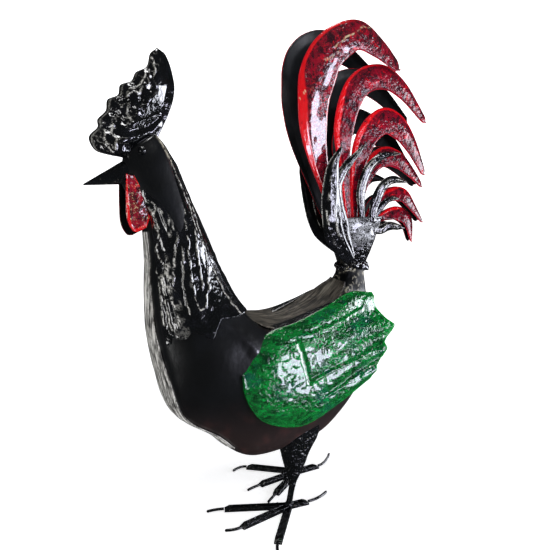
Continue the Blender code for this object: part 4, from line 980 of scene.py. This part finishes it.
def makeWing(side, label):
    # domed sheet: dome 1 - (2s - 1)^4 across, cosine ridges to the scalloped tips, rim turned in
    forward = np.linspace(0, 1, wings["stations"]) ** 0.85
    share = np.linspace(0, 1, wings["across"])
    reach = readKnots(wings["reach"], share)
    low = alongPath(onFigure(wings["low"]), forward)
    high = alongPath(onFigure(wings["high"]), forward)
    flat = low[:, None] + (high - low)[:, None] * share[None, :, None]
    flat[..., 0] += onFigure(reach) * forward[:, None] ** 3
    rear = rise(forward, wings["ribStart"], 1)[:, None]
    edge = 1 - (2 * share - 1) ** 4
    dome = wings["dome"] * edge * rise(forward, 0, 0.35)[:, None] * (1 - 0.5 * rear)
    ridge = np.cos(math.pi * np.interp(share, (0.0, *wings["tips"], 1.0), (1, 2, 4, 6, 8, 9)))
    relief = wings["ridge"] * ridge * rear * (1 - (2 * share - 1) ** 6)
    lean = wings["lean"] * share ** 1.5 + wings["rearLean"] * share * forward[:, None] ** 2
    across = onFigure(wings["plane"] + dome - lean) + relief
    points = np.stack((flat[..., 0], across, flat[..., 1]), axis=-1)
    # hammer marks, the shoulder groove and the crisp ribs
    inside = np.minimum(rise(forward, 0, 0.06), 1 - rise(forward, 0.97, 1))[:, None] * rise(edge, 0.1, 0.4)
    seed = 70 + side
    height, width = wings["grooveRidge"]
    detail = lumps(points, wings["dents"], seed) + height * lineRidge(points, wings["groove"], width)
    width, hollowWidth = wings["ribWidths"]
    ribs = ridges(points, wings["ribs"], width)
    hollows = ridges(points - np.array((0, 0, wings["ribHollow"])), wings["ribs"], hollowWidth)
    detail = detail + wings["ribHeight"] * ribs - wings["ribHeight"] * hollows
    points[..., 1] += detail * (0.35 + 0.65 * inside)
    points[..., 2] -= onFigure(wings["drop"][side])
    # the rim rolls in towards the body step by step, at the top, below and in front
    depth = onFigure(wings["turnIn"]) * (1 - rise(forward, *wings["rimFade"])) + figure["sheet"]
    lines = [points]
    for step in wings["rolled"]:
        turn = depth[:, None, None] * np.array((0.0, step, 0.0))
        lines = [points[:, :1] - turn, *lines, points[:, -1:] - turn]
    points = np.concatenate(lines, axis=1)
    fronts = []
    for step in wings["rolled"][::-1]:
        front = points[:1].copy()
        front[..., 1] = np.minimum(front[..., 1], points[:1, 4:5, 1] - depth[0] * step)
        fronts.append(front)
    points = np.concatenate((*fronts, points))
    points[..., 1] *= side
    # painted shade: the turned-in rim is black, standing for the shaded gap against the body
    turned = np.zeros(points.shape[:2])     # black where the rim is turned in at the top
    turned[:, -len(wings["rolled"]):] = 1
    columns = np.abs(np.linspace(-1, 1, points.shape[1]))[None, :]
    lastRows = np.linspace(0, 1, points.shape[0])[:, None]
    border = np.maximum(rise(columns, 0.90, 0.96), rise(lastRows, 0.975, 0.995))
    marks = {"rim": border * (1 - turned), "turned": turned}
    return makePiece("wing_" + label + "_plate", points, "wing_" + label,
                     [wingGreen, wingBack], (0.0, side, 0.0), marks)


def socketPoints():
    # flat-sided rings: powers of sine and cosine, from round at the waist to box-like at the mouth
    share = np.linspace(0, 1, tailSocket["rings"])[:, None]
    turn = np.linspace(0, 2 * math.pi, tailSocket["around"], endpoint=False)[None, :]
    roundness = 2 + 2 * share
    centre = onFigure(tailSocket["waist"]) * (1 - share) + onFigure(tailSocket["mouth"]) * share
    flare = share ** tailSocket["flare"]
    length = onFigure(tailSocket["waistLength"] * (1 - flare) + tailSocket["mouthLength"] * flare)
    depth = onFigure(tailSocket["waistDepth"] * (1 - flare) + tailSocket["mouthDepth"] * flare)
    wide = np.sign(np.cos(turn)) * np.abs(np.cos(turn)) ** (2 / roundness)
    deep = np.sign(np.sin(turn)) * np.abs(np.sin(turn)) ** (2 / roundness)
    return np.stack((centre[:, :1] + length / 2 * wide, depth / 2 * deep, centre[:, 1:] + 0 * turn), axis=-1)


def makeSocket():
    # the rings with dents along their normals, fading out at both ends
    points = socketPoints()
    # painted reflection: a pale patch high on the front of the sides, partly rubbed steel and partly
    # standing for the bright reflection there
    front = np.exp(-(np.abs(points[..., 0] - onFigure(tailSocket["wearAndSheenMiddle"]))
                     / onFigure(tailSocket["wearAndSheenReach"])) ** 4)
    high = rise(points[..., 2], *onFigure(tailSocket["wearAndSheenHeights"]))
    wear = 0.5 * np.clip(front * high, 0, 1) * rise(lumpNoise(points, 0.009, 83), -0.9, 0.3)
    share = np.linspace(0, 1, len(points))[:, None]
    inner = rise(share, 0, 0.05) * rise(1 - share, 0, 0.05)
    relief = lumps(points, tailSocket["dents"]) * inner
    return makePiece("tail_socket_shell", points + gridNormals(points) * relief[..., None], "tail_socket",
                     [socketBlackAndSheen], marks={"wear": wear})


tail = {
    "splay": 5.5,
    "layers": 7,
    "innerLayer": 0.0028,
    "dish": 0.07,
    "fold": 0.10,
    "stationLength": 0.0026,
    "stepWidth": 0.0016,
    "rolledEdge": (0.0012, 0.0022),     # depth and width
    "tilt": 0.0030,                 # lean of the sickles, the first of which is flat up to its crease
    "firstTilt": 0.0045,
    "flat": 0.0013,
    "crease": (0.48, 0.57),
    "stripEdge": (0.42, 0.84),      # where the red strip ends across a sickle, low and high up
    "stripGroove": (0.0006, 0.05),
    "sickleDents": ((0.0003, 0.013, 0), (0.00015, 0.006, 3)),
    "covertDents": ((0.0003, 0.012, 1), (0.00018, 0.005, 2)),
    "covertRidges": (-0.45, 0.35),  # across the feather
    "covertRidge": (0.0007, 0.10),
    "covertCrown": 0.0010,
    "covertWander": 0.25,
    "covertDish": 0.3,              # where its bulge starts
    # shares of the length, and of the width there
    "sickleProfile": ((0.0, 0.20), (0.2, 0.40), (0.4, 0.80), (0.58, 1.0), (0.7, 0.93), (0.8, 0.74),
                      (0.9, 0.53), (1.0, 0.32)),
    "covertProfile": ((0.0, 0.50), (0.3, 1.0), (0.55, 0.95), (0.8, 0.65), (1.0, 0.12)),
    # bright scratched lines on the first sickle, and their width and wander
    "creases": (((-2.7, 85.3), (-1.9, 84.7), (-1.2, 85.0), (-0.3, 85.8), (1.0, 87.0)),
                ((5.2, 94.2), (6.2, 95.2), (6.9, 96.3), (9.0, 97.4), (10.6, 98.3), (12.8, 98.9)),
                ((3.0, 92.0), (4.6, 93.0), (5.4, 93.2))),
    "creaseLine": (0.0005, 0.004),
}
sickles = (     # centre line, width, where the bulge starts, how far forward the right one lies
    (((9.9, 58.4), (6.4, 66.0), (2.8, 76.5), (1.9, 85.5), (3.6, 93.1), (9.3, 96.9), (15.0, 94.9),
      (20.6, 91.2)), 7.4, 0.25, (0.0, -0.4, -0.2)),
    (((12.1, 58.4), (10.5, 69.0), (9.4, 79.7), (11.6, 87.4), (16.9, 89.6), (22.7, 87.0), (29.4, 80.9)),
     5.3, 0.45, (0.0, 0.0, 0.0)),
    (((13.6, 58.4), (13.3, 67.5), (14.9, 76.7), (18.8, 80.8), (23.0, 79.7), (27.0, 75.7), (30.9, 69.7)),
     5.5, 0.45, (0.0, 1.2, 3.6)),
    (((14.9, 58.4), (15.2, 66.0), (17.1, 71.3), (20.4, 73.5), (24.1, 72.8), (27.7, 70.1), (30.8, 67.1)),
     4.2, 0.45, (0.0, 0.0, 0.0)),
    (((15.8, 58.4), (18.6, 62.9), (22.5, 65.1), (26.3, 65.1), (29.3, 62.1), (31.7, 59.1)),
     3.2, 0.45, (0.0, 0.0, 0.0)),
    (((16.8, 58.4), (19.2, 59.5), (22.1, 60.7), (25.3, 61.1), (28.1, 59.3), (29.4, 54.7)),
     3.2, 0.45, (0.0, 0.0, 0.0)),
)
coverts = (     # centre line, width, sheets outside the first sickle, outside the socket, forward
    (((11.4, 51.7), (6.9, 57.6), (5.7, 63.1), (5.5, 68.5), (5.9, 72.5), (7.4, 75.8)), 4.6, 3.6, True,
     (-3.5, -1.2, 1.6)),
    (((12.4, 52.3), (9.6, 58.4), (7.4, 66.3), (8.7, 70.7), (13.8, 76.4)), 2.9, 1.0, True, (0.0, 0.0, 0.0)),
    (((14.6, 60.3), (14.0, 66.5), (15.5, 71.2), (19.0, 73.8), (23.3, 74.2)),
     2.3, 1.0, False, (0.0, 0.0, 0.0)),
    (((16.7, 59.8), (17.2, 63.7), (18.9, 67.2), (21.4, 68.7), (25.1, 68.1)),
     2.5, 2.0, False, (0.0, 0.0, 0.0)),
    (((17.4, 60.3), (18.6, 62.3), (20.9, 64.4), (23.7, 64.6)), 1.6, 1.0, False, (0.0, 0.0, 0.0)),
    (((17.2, 57.8), (19.6, 57.9), (22.0, 58.6), (24.2, 58.3), (26.1, 57.9)),
     2.1, -1.0, False, (0.0, 0.0, 0.0)),
)


def fanLean(height):
    # the fan curves out with the square of its height above the socket's mouth
    mouth = onFigure(tailSocket["mouth"])[1]
    return onFigure(tail["splay"]) * np.maximum(0, (height - mouth) / (figure["height"] - mouth)) ** 2


def layerPlace(layer):
    # feathers stand side by side in the socket, one equal step from layer to layer
    room = onFigure(tailSocket["mouthDepth"]) / 2 - tail["innerLayer"] - figure["sheet"]
    return tail["innerLayer"] + room / tail["layers"] * layer


def socketSide(height):
    # half the socket's depth, from the waist's to the mouth's by a power of the height's share
    waist, mouth = onFigure(tailSocket["waist"])[1], onFigure(tailSocket["mouth"])[1]
    share = np.clip((height - waist) / (mouth - waist), 0, 1) ** tailSocket["flare"]
    return onFigure(tailSocket["waistDepth"] * (1 - share) + tailSocket["mouthDepth"] * share) / 2


def setForward(path, amounts):
    # the path's points move forward by the amounts given at its foot, half way up and at its top
    path = np.array(path)
    risen = (path[:, 1] - path[0, 1]) / (path[:, 1].max() - path[0, 1])
    path[:, 0] -= np.interp(risen, (0.0, 0.5, 1.0), amounts)
    return path


def featherGrid(side, path, width, profile, base, fold, dishStart):
    # a width profile carried along the centre line, its tip rounded by a quarter circle, dished
    # outwards by 1 - v^2 and its front edge folded in
    length = pathLength(path)
    roundStart = 1 - 0.5 * width * readKnots(profile, 1.0) / length
    shaft = np.linspace(0, roundStart, max(40, round(length / tail["stationLength"])))
    quarter = np.linspace(0.15, 1, 8) * math.pi / 2
    shares = np.concatenate((shaft, roundStart + (1 - roundStart) * np.sin(quarter)))
    centre = alongPath(path, shares)
    ahead = alongPath(path, np.minimum(shares + 0.01, 1)) - alongPath(path, np.maximum(shares - 0.01, 0))
    ahead /= np.linalg.norm(ahead, axis=1, keepdims=True)
    across = np.stack((-ahead[:, 1], ahead[:, 0]), axis=1)
    past = np.maximum(shares - roundStart, 0) / (1 - roundStart)
    half = width / 2 * readKnots(profile, shares) * np.sqrt(np.clip(1 - past ** 2, 0.01, 1))
    spread = np.sin(np.linspace(-1, 1, max(14, round(width / tail["stepWidth"]))) * math.pi / 2 * 0.92)
    spread /= spread[-1]
    flat = centre[:, None] + across[:, None] * (half[:, None] * spread)[..., None]
    section = tail["dish"] * (1 - spread ** 2) - fold * rise(spread, 0.2, 1)
    bulge = section * 2 * half[:, None] * rise(shares, dishStart, dishStart + 0.3)[:, None]
    outer = base(flat[..., 1]) + fanLean(flat[..., 1]) + bulge + figure["sheet"]
    points = np.stack((flat[..., 0], side * outer, flat[..., 1]), axis=-1)
    sheetwise = np.stack((np.broadcast_to((shares * length)[:, None], flat.shape[:2]),
                          half[:, None] * spread), axis=-1)
    edge = np.minimum(half[:, None] * (1 - np.abs(spread)), (length * (1 - shares))[:, None] + 0 * spread)
    return points, shares[:, None], spread[None, :], edge, sheetwise


def makeSickle(side, label, index):
    # a long feather on its layer of the fan: rolled edges, a groove beside the red strip, and a lean
    # that grows across it; the first is nearly flat below its crease
    path, width, dishStart, forward = sickles[index]
    if side > 0:
        path = setForward(path, forward)
    layer = layerPlace(len(sickles) - 1 - index)
    fold = min(tail["fold"], (layer - figure["sheet"]) / onFigure(width))

    def base(height):
        return np.full_like(height, layer)

    points, share, spread, edge, flat = featherGrid(side, onFigure(path), onFigure(width),
                                                    tail["sickleProfile"], base, fold, dishStart)
    depth, edgeWidth = tail["rolledEdge"]
    relief = lumps(points, tail["sickleDents"], 100 + 10 * index + side)
    relief = relief - depth * (1 - rise(edge, 0, edgeWidth))
    low, high = tail["stripEdge"]
    stripEdge = low + (high - low) * rise(share, 0.45, 0.62)
    strip = rise(spread, stripEdge - 0.03, stripEdge + 0.03) * (1 - rise(share, 0.72, 0.8))
    depth, grooveWidth = tail["stripGroove"]
    relief = relief - depth * np.exp(-((spread - stripEdge) / grooveWidth) ** 2)
    rim = 1 - rise(edge, 0.0004, 0.0014)
    if index:
        lean = tail["tilt"] * rise(share, 0.3, 0.45)
    else:
        bent = rise(share, *tail["crease"])
        lean = tail["firstTilt"] * bent
        relief = relief - tail["flat"] * (1 - spread ** 2) * rise(share, 0.04, 0.12) * (1 - bent)
    points[..., 1] += side * (relief - lean * spread)
    creases = 0 * rim if index else ridges(points, tail["creases"], *tail["creaseLine"])
    name = f"sickle_{label}_{index + 1}"
    finishes = [sickleRed if index else firstSickleRed, backBlack]
    return makePiece(name + "_sheet", points, name, finishes, (0.0, side, 0.0),
                     {"rim": rim, "strip": strip, "wear": creases}, flat)


def makeCovert(side, label, index):
    # a short feather outside the sickles or the socket, with two wandering bell ridges along it
    path, width, sheetsOut, outside, forward = coverts[index]
    if side > 0:
        path = setForward(path, forward)
    layer = layerPlace(len(sickles) - 1 + sheetsOut)
    beside = layerPlace(sheetsOut) - tail["innerLayer"]

    def base(height):
        return socketSide(height) + beside if outside else np.full_like(height, layer)

    fold = tail["fold"] if outside else 0.0
    points, share, spread, edge, flat = featherGrid(side, onFigure(path), onFigure(width),
                                                    tail["covertProfile"], base, fold, tail["covertDish"])
    seed = 200 + 10 * index + side
    along = np.stack((share * 6, 0 * share, 0 * share), axis=-1) + 0 * spread[..., None]
    wander = tail["covertWander"] * lumpNoise(along, 1.0, seed)
    height, ridgeWidth = tail["covertRidge"]
    crests = sum(np.exp(-((spread - middle - wander) / ridgeWidth) ** 2) for middle in tail["covertRidges"])
    crests = crests * (1 - rise(share, 0.88, 1)) * rise(share, 0.05, 0.2)
    depth, edgeWidth = tail["rolledEdge"]
    relief = height * crests + lumps(points, tail["covertDents"], seed)
    relief = relief + tail["covertCrown"] * (1 - spread ** 2) * rise(share, 0.1, 0.4)
    points[..., 1] += side * (relief - depth * (1 - rise(edge, 0, edgeWidth)))
    broken = lumpNoise(np.concatenate((flat, 0 * flat[..., :1]), axis=-1), 0.012, seed + 4)
    wear = (crests ** 3 + 0.6 * (1 - rise(edge, 0.0004, 0.0014))) * rise(broken, -0.25, 0.2)
    name = f"covert_{label}_{index + 1}"
    return makePiece(name + "_sheet", points, name, [covertBlack, backBlack],
                     (0.0, side, 0.0), {"wear": np.clip(wear, 0, 1)}, flat)


legs = {
    "footSpread": 12.9,
    "stride": 8.4,
    "ankle": 5.3,
    "lean": 0.8,
    "thighTop": {-1: (-0.7, -4.7, 20.2), 1: (3.3, 4.5, 20.2)},
    "thighLength": 13.4,
    "thighWidth": 7.0,
    "rod": 0.010,
    "toeHeight": 0.0065,
    "clawWire": 0.0045,
    "thighDents": ((0.0010, 0.018, 301), (0.0004, 0.008, 303)),
    "shankDents": (0.0003, 0.006, 311),
    "clawEnd": 0.94,                # the claw's wire rounds off from here on
    "fold": 0.0006,                 # radius of the toes' rounded edges
}
toes = {        # direction, channel length, claw reach, direction of its tip, height of its tip
    -1: ((-20.0, 13.7, 17.5, -18.0, 0.0), (15.0, 12.6, 15.9, 10.0, 0.0),
         (55.0, 13.8, 17.5, 58.0, 0.0), (179.0, 4.5, 10.1, 188.0, 0.5)),
    1: ((37.0, 12.1, 15.1, 27.0, 0.0), (-11.0, 10.5, 14.1, -12.0, 0.0),
        (-39.0, 11.3, 15.1, -39.0, 0.0), (175.0, 5.9, 10.5, 166.0, 1.6)),
}


def footPlace(side):
    # the two feet stand half a stride and half a spread to either side of the middle
    return onFigure((legs["stride"], legs["footSpread"])) / 2 * side


def toeDirection(side, angle):
    return np.array((-math.cos(math.radians(angle)), side * math.sin(math.radians(angle))))


def makeThigh(side, label):
    # sheet cone: its two half widths grow in straight lines from the rod's to the belly's
    foot = footPlace(side)
    bottom = np.array((foot[0] + onFigure(legs["lean"]), foot[1], onFigure(legs["ankle"])))
    top = onFigure(legs["thighTop"][side])
    share = np.linspace(0, 1, 70)[:, None]
    turn = np.linspace(0, 2 * math.pi, 72, endpoint=False)[None, :]
    longHalf, wideHalf = ((legs["rod"] * (1 - share) + onFigure(legs[size]) * share) / 2
                          for size in ("thighLength", "thighWidth"))
    around = np.stack((longHalf * np.cos(turn), wideHalf * np.sin(turn), 0 * share * turn), axis=-1)
    points = bottom + (top - bottom) * share[..., None] + around
    dents = lumps(points, legs["thighDents"], side) * rise(share, 0.02, 0.2)
    return makePiece("thigh_" + label + "_cone", points + gridNormals(points) * dents[..., None],
                     "thigh_" + label, [thighBlack])


def rodPoints(line, radii, around):
    # a circle carried along a line of points, square to its direction
    line = np.asarray(line, float)
    ahead = np.gradient(line, axis=0)
    ahead /= np.linalg.norm(ahead, axis=1, keepdims=True)
    across = np.cross(ahead, (0.0, 0.0, 1.0) if abs(ahead[0, 2]) < 0.8 else (0.0, 1.0, 0.0))
    across /= np.linalg.norm(across, axis=1, keepdims=True)
    lift = np.cross(across, ahead)
    turn = np.linspace(0, 2 * math.pi, around, endpoint=False)
    ring = across[:, None] * np.cos(turn)[None, :, None] + lift[:, None] * np.sin(turn)[None, :, None]
    return line[:, None] + ring * np.broadcast_to(np.asarray(radii), len(line))[:, None, None]


def makeShank(side, label):
    # rod from the toes up to the ankle
    foot = footPlace(side)
    low = np.array((foot[0], foot[1], legs["toeHeight"] + figure["gap"]))
    high = np.array((foot[0] + onFigure(legs["lean"]), foot[1], onFigure(legs["ankle"]) - figure["gap"]))
    line = low + (high - low) * np.linspace(0, 1, 30)[:, None]
    points = rodPoints(line, legs["rod"] / 2, 36)
    points = points + gridNormals(points) * lumps(points, [legs["shankDents"]])[..., None]
    return makePiece("shank_" + label + "_rod", points, "shank_" + label, [partsBlack])


def makeClaw(side, label, index):
    # wire along a curve of the second order from the toe's end to the tip, rounded off at its end
    angle, length, reach, tipAngle, tipHeight = toes[side][index]
    length, reach, tipHeight = onFigure((length, reach, tipHeight))
    foot = footPlace(side)
    wire = legs["clawWire"]
    start = foot + toeDirection(side, angle) * (length + figure["gap"] + wire / 8)
    tip = foot + toeDirection(side, tipAngle) * reach
    aim = start + toeDirection(side, angle) * (reach - length) * 0.5
    share = np.linspace(0, 1, 28)[:, None]
    flat = start * (1 - share) ** 2 + aim * 2 * share * (1 - share) + tip * share ** 2
    height = legs["toeHeight"] / 2 + (wire / 2 + tipHeight - legs["toeHeight"] / 2) * share ** 2
    line = np.concatenate((flat, height), axis=1)
    ended = np.clip((share[:, 0] - legs["clawEnd"]) / (1 - legs["clawEnd"]), 0, 1)
    points = rodPoints(line, wire / 2 * np.sqrt(np.clip(1 - ended ** 2, 0.04, 1)), 20)
    name = f"claw_{label}_{index + 1}"
    return makePiece(name + "_wire", points, name, [partsBlack])


def makeToe(label, index):
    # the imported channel, its corners merged and its edges rounded over like folded strip
    name = f"toe_{label}_{index + 1}"
    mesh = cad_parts[name].data.copy()
    mesh.name = name + "_channel"
    surface = bmesh.new()
    surface.from_mesh(mesh)
    bmesh.ops.remove_doubles(surface, verts=surface.verts, dist=mending["doubles"])
    bmesh.ops.dissolve_limit(surface, angle_limit=math.radians(2), verts=surface.verts, edges=surface.edges)
    surface.to_mesh(mesh)
    surface.free()
    mesh.materials.clear()
    mesh.materials.append(toeBlack)
    piece = placed(name + "_channel", mesh, name)
    rounding = piece.modifiers.new("rounded edges", "BEVEL")
    rounding.width = legs["fold"]
    rounding.segments = 2
    rounding.limit_method = "ANGLE"
    rounding.angle_limit = math.radians(30)
    rounding.harden_normals = True
    return piece


welds = {
    "lumps": ((0.22, 0.55, 0), (0.12, 0.28, 1)),    # on a ball of radius 1
    "rings": 26,
    "around": 40,
    "socketCount": 11,
    "socketSize": (0.0085, 0.0070, 0.0065),
    "socketWave": 0.003,
    "footSize": (0.0075, 0.0075, 0.0045),
    "ankleSize": (0.0062, 0.0062, 0.0062),
}


def makeBead(name, centre, radii, seed, finish):
    # weld bead: a flattened ball with lumps of noise
    tilt = np.linspace(-0.5, 0.5, welds["rings"])[:, None] * math.pi
    turn = np.linspace(0, 2 * math.pi, welds["around"], endpoint=False)[None, :]
    ball = np.stack((np.cos(tilt) * np.cos(turn), np.cos(tilt) * np.sin(turn), np.sin(tilt) + 0 * turn),
                    axis=-1)
    points = np.array(centre) + ball * np.array(radii) * (1 + lumps(ball, welds["lumps"], seed))[..., None]
    return makePiece(name, points[1:-1], None, [finish])


def makeSocketBeads():
    # a ring of beads round the socket's waist, in a slight wave
    x, z = onFigure(tailSocket["waist"])
    length, depth = onFigure((tailSocket["waistLength"], tailSocket["waistDepth"])) / 2
    for number, turn in enumerate(np.linspace(0, 2 * math.pi, welds["socketCount"], endpoint=False)):
        centre = (x + length * math.cos(turn), depth * math.sin(turn),
                  z + welds["socketWave"] * math.sin(3 * turn))
        makeBead(f"weld_socket_{number + 1}", centre, welds["socketSize"], 500 + 3 * number,
                 combBlack)


def makeLegBeads(side, label):
    # one bead where the rod meets the toes and one where it meets the thigh
    x, y = footPlace(side)
    makeBead("weld_foot_" + label, (x, y, legs["toeHeight"]), welds["footSize"], 400 + side,
             partsBlack)
    makeBead("weld_ankle_" + label, (x + onFigure(legs["lean"]), y, onFigure(legs["ankle"])),
             welds["ankleSize"], 410 + side, partsBlack)


photo = {
    "side": 550,                    # pixels
    "focal": 680,                   # pixels
    "azimuth": -25.0,
    "pitch": 11.3,
    "distance": 1.1016,
    "target": (-0.0222, 0.0251, 0.3709),
    "sensor": 36.0,
}


def direction(azimuth, elevation):      # in degrees from the front of the stage
    azimuth, elevation = math.radians(azimuth), math.radians(elevation)
    return Vector((math.sin(azimuth) * math.cos(elevation), -math.cos(azimuth) * math.cos(elevation),
                   math.sin(elevation)))


def makeCamera():
    back = direction(photo["azimuth"], photo["pitch"])
    camera = bpy.data.objects.new("camera", bpy.data.cameras.new("camera"))
    camera.data.sensor_width = photo["sensor"]
    camera.data.lens = photo["focal"] / photo["side"] * photo["sensor"]
    camera.location = Vector(photo["target"]) + Vector(figureShift) + back * photo["distance"]
    camera.rotation_euler = back.to_track_quat("Z", "Y").to_euler()
    bpy.context.scene.collection.objects.link(camera)
    bpy.context.scene.camera = camera


lights = {      # azimuth from the front, elevation, distance, size, power, colour, seen in gloss
    "pane": (30, -7, 1.5, (0.28, 0.40), 4.0, "e9e9ff", True),
    "window": (70, -1.5, 1.5, (0.84, 0.72), 18, "f0f3ff", True),
    "fill": (-5, 35, 1.7, (1.4, 1.4), 14, "ffffff", False),
    "left": (-66, -6, 1.5, (0.25, 0.35), 1.4, "ffffff", True),
    "top": (-10, 80, 1.7, (0.5, 0.5), 7, "ffffff", True),
    "rear": (165, 58, 1.7, (0.8, 0.6), 5, "ffffff", True),
}
lightsAim = Vector((0, 0, 0.38))


def makeLights():
    for name, (azimuth, elevation, distance, size, power, colour, inGloss) in lights.items():
        back = direction(azimuth, elevation)
        lamp = bpy.data.lights.new(name + " softbox", "AREA")
        lamp.shape = "RECTANGLE"
        lamp.size, lamp.size_y = size
        lamp.energy = power
        lamp.color = fromHex(colour)[:3]
        item = bpy.data.objects.new(name + " softbox", lamp)
        item.visible_glossy = inGloss
        item.location = lightsAim + back * distance
        item.rotation_euler = back.to_track_quat("Z", "Y").to_euler()
        bpy.context.scene.collection.objects.link(item)


stage = {
    "floorRadii": (0.001, 0.5, 1.0, 2.0, 4.0),
    "domeRadius": 4.2,
    "domeTilts": (-0.3, 1.55, 30),
    "paper": {"Base Color": fromHex("f4f4f4"), "Roughness": 0.9, "Specular IOR Level": 0.0,
              "Emission Color": (1, 1, 1, 1), "Emission Strength": 1.2},
    "litWithin": (0.3, 1.0),        # metres from the middle
    "litGlow": 0.68,
    "air": "8c8f94",
    "airLight": 0.10,
}


def makeStage():
    # flat floor disc and a wide dome around it, both plain white paper, matt and a little luminous
    turn = np.linspace(0, 2 * math.pi, 96, endpoint=False)
    circle = np.stack((np.cos(turn), np.sin(turn), 0 * turn), axis=-1)
    radius = stage["domeRadius"]
    shapes = {
        "floor": np.stack([circle * reach for reach in stage["floorRadii"]]),
        "backdrop": np.stack([circle * radius * math.cos(tilt)
                              + np.array((0, 0, radius * math.sin(tilt) - 0.02))
                              for tilt in np.linspace(*stage["domeTilts"])]),
    }
    for name, points in shapes.items():
        mesh = bpy.data.meshes.new(name)
        faces = gridFaces(*points.shape[:2], True)[1][:, ::-1]
        mesh.from_pydata(points.reshape(-1, 3).tolist(), [], faces.tolist())
        mesh.shade_smooth()
        item = bpy.data.objects.new(name, mesh)
        bpy.context.scene.collection.objects.link(item)
        paper, tree, shader, place = newPaint("white paper, " + name, stage["paper"])
        if name == "floor":         # lit by the softboxes near the middle, and by itself further out
            away = addNode(tree, "ShaderNodeVectorMath", {0: place}, operation="LENGTH").outputs["Value"]
            near, far = stage["litWithin"]
            glow = addNode(tree, "ShaderNodeMapRange", {
                "Value": away, "From Min": near, "From Max": far, "To Min": stage["litGlow"],
                "To Max": stage["paper"]["Emission Strength"]}, interpolation_type="SMOOTHSTEP")
            tree.links.new(glow.outputs[0], shader.inputs["Emission Strength"])
        mesh.materials.append(paper)
        item.visible_glossy = False
        item.visible_diffuse = name == "floor"
        item.visible_transmission = False
        item.visible_shadow = False


def makeWorld():
    world = bpy.data.worlds.new("studio")
    world.use_nodes = True
    world.node_tree.nodes["Background"].inputs["Color"].default_value = fromHex(stage["air"])
    world.node_tree.nodes["Background"].inputs["Strength"].default_value = stage["airLight"]
    bpy.context.scene.world = world
    bpy.context.scene.view_settings.view_transform = "Standard"


print("camera, lights and floor")
makeCamera()
makeLights()
makeStage()
makeWorld()

print("paints")
bodyBlack = bodyBlackEnamel("gloss black enamel, body")
# on the beak and small parts, the toes and the thighs the grey specks are partly painted glints
partsBlack = glossBlackEnamel("gloss black enamel, small parts", wearAndGlintShare=0.015, dents=0.0008)
toeBlack = glossBlackEnamel("gloss black enamel, toes", wearAndGlintShare=0.03, dents=0.0022)
thighBlack = glossBlackEnamel("gloss black enamel, thighs", wearAndGlintShare=0.025, dents=0.0020)
backBlack = glossBlackEnamel("gloss black enamel, insides", dull=True)
capeBlack = wornBlackEnamel("worn black enamel, neck", dents=0.0004)
combBlack = wornBlackEnamel("worn black enamel, comb", dents=0.0004)
covertBlack = wornBlackEnamel("worn black enamel, coverts", coat=0.5, dents=0.0005)
sickleRed = mottledRedEnamel("mottled red enamel, sickles")
firstSickleRed = mottledRedEnamel("mottled red enamel, first sickles", coat=1.0)
wattleRed = mottledRedEnamel("mottled red enamel, wattles", coat=0.6, flecked=0.58)
wingGreen = hammeredGreenEnamel("hammered green enamel, wings")
wingBack = glossBlackEnamel("gloss black enamel, wing insides")
# painted reflection: the breast's light and pale tones are near white, partly bare steel and partly the
# bright reflection of the front plate
breastSteelAndSheen = wornDrumSteel("worn drum steel and painted reflection, breast", light="e4e2dc", dark="3e3c3a", pale="f6f4ee")
saddleSteel = wornDrumSteel("worn drum steel, saddle", light="827b70", dark="241f1b", pale="a8a294")
# the pale colour here is partly rubbed steel and partly a painted reflection on the socket's front
socketBlackAndSheen = wornBlackEnamel("worn black enamel and painted sheen, socket", flecked=0.655, rubbed="d4d6dc")
sides = ((-1, "left"), (1, "right"))

print("body and plates")
makeBody()
makePlate("breast_panel", breastSteelAndSheen)
makePlate("saddle_panel", saddleSteel)

print("neck and head")
makeCape()
makeComb()
makeBeak()
for side, label in sides:
    makeEye(side, label)
    makeWattle(side, label)

print("wings")
for side, label in sides:
    makeWing(side, label)

print("tail")
makeSocket()
for side, label in sides:
    for index in range(len(sickles)):
        makeSickle(side, label, index)
    for index in range(len(coverts)):
        makeCovert(side, label, index)
makeSocketBeads()

print("legs and feet")
for side, label in sides:
    makeThigh(side, label)
    makeShank(side, label)
    for index in range(len(toes[side])):
        makeToe(label, index)
        makeClaw(side, label, index)
    makeLegBeads(side, label)

print("pieces and stage ready")
